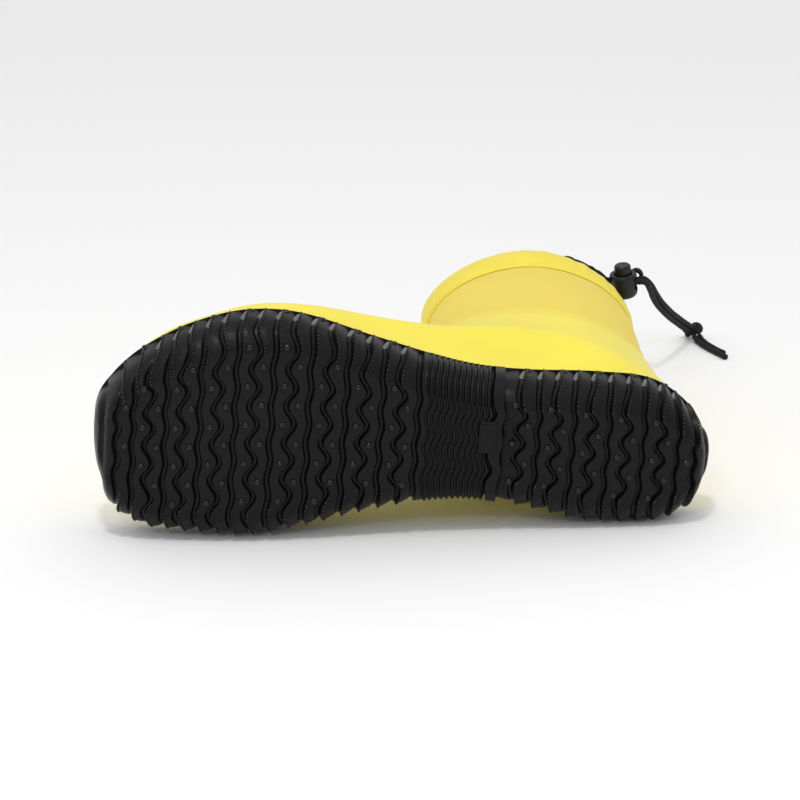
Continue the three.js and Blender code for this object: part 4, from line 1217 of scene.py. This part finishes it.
def cut_slot(piece, high, low, wide):
    """Cuts a rounded slot, along the cord, right through a piece."""
    turn = np.linspace(0, 2 * np.pi, 48, endpoint=False)
    y = np.sign(np.cos(turn)) * np.abs(np.cos(turn)) ** 0.55 * wide
    z = (high + low) / 2 + np.sign(np.sin(turn)) * np.abs(np.sin(turn)) ** 0.55 * (high - low) / 2
    rows = [np.stack([np.full(48, x), y * share, (z - (high + low) / 2) * share + (high + low) / 2], -1)
            for x, share in ((-15, 0), (-15, 1), (15, 1), (15, 0))]
    cutter = grid_mesh("slot_cutter", in_lock(np.array(rows)), around_closed=True)
    cut = piece.modifiers.new("slot", "BOOLEAN")
    cut.operation = "DIFFERENCE"
    cut.solver = "EXACT"
    cut.object = cutter
    whole = piece.data
    piece.data = bpy.data.meshes.new_from_object(piece.evaluated_get(bpy.context.evaluated_depsgraph_get()))
    piece.modifiers.clear()
    bpy.data.meshes.remove(whole)
    bpy.data.meshes.remove(cutter.data)
    finish_mesh(piece.data, 40)


BODY_PROFILE = [(0, -9.4), (4.0, -9.4), (5.2, -9.2), (6.3, -8.6), (7.1, -7.6), (7.5, -6.4), (7.6, -5.2),
                (7.6, -2.4),
                (7.6, 1.2), (7.6, 3.2), (7.45, 4.1), (7.05, 4.6), (6.5, 4.8), (5.5, 4.8), (5.1, 4.6),
                (4.95, 4.2),
                (4.95, -8.2), (0, -8.2)]
lock_body = grid_mesh("lock_barrel", in_lock(turned(BODY_PROFILE, 64)), around_closed=True, sharp=40)
cut_slot(lock_body, LOCK["slot_high"], -LOCK["slot_high"] - LOCK["travel"], LOCK["slot_wide"])
PLUNGER_PROFILE = [(0, -3.1), (4.4, -3.1), (4.65, -2.8), (4.65, 0), (4.65, 7.8), (4.6, 8.6), (4.35, 9.3),
                   (3.9, 9.75),
                   (3.3, 9.95), (2.4, 9.8), (1.2, 9.65), (0, 9.6)]
lock_plunger = grid_mesh("lock_button_plunger", in_lock(turned(PLUNGER_PROFILE, 56)), around_closed=True,
                         sharp=40)
cut_slot(lock_plunger, LOCK["slot_high"] + LOCK["travel"], -LOCK["slot_high"], LOCK["slot_wide"])
EYE_PROFILE = [(1.5, -1.3), (2.9, -1.3), (3.5, -1.0), (3.8, -0.4), (3.8, 0.4), (3.5, 1.0), (2.9, 1.3),
               (1.9, 1.3),
               (1.5, 0.9), (1.5, -1.3)]
eye = turned(EYE_PROFILE, 40)[..., [0, 2, 1]] * np.array([1, 1, 1.15]) + EYE_AT
lock_eye = grid_mesh("lock_side_eye", in_lock(eye), around_closed=True, sharp=50)
for piece, node, body in ((lock_body, "lock_body", "cord_lock"),
                          (lock_plunger, "lock_plunger", "lock_button"),
                          (lock_eye, None, "cord_lock")):
    piece.data.materials.clear()
    fit(piece, lock_plastic, node, body)

# The spring below the plunger: three turns of steel wire.
spring_turn = np.linspace(0, 6 * np.pi, 220)
spring_path = np.stack([3.1 * np.cos(spring_turn), 3.1 * np.sin(spring_turn),
                        np.linspace(LOCK["low"] + 1.7, -3.7, 220)], 1)
spring = grid_mesh("lock_coil_spring", in_lock(braid(spring_path, 58.0, 0.35, 12, carriers=0)),
                   around_closed=True)
steel = skin_material("spring_steel", (0.5, 0.5, 0.51), (0.6, 0.6, 0.61), (0.22, 0.34), 2500.0, 0.00001, 0.0)
steel.node_tree.nodes["Principled BSDF"].inputs["Metallic"].default_value = 1.0
fit(spring, steel, "lock_spring", body="cord_lock")
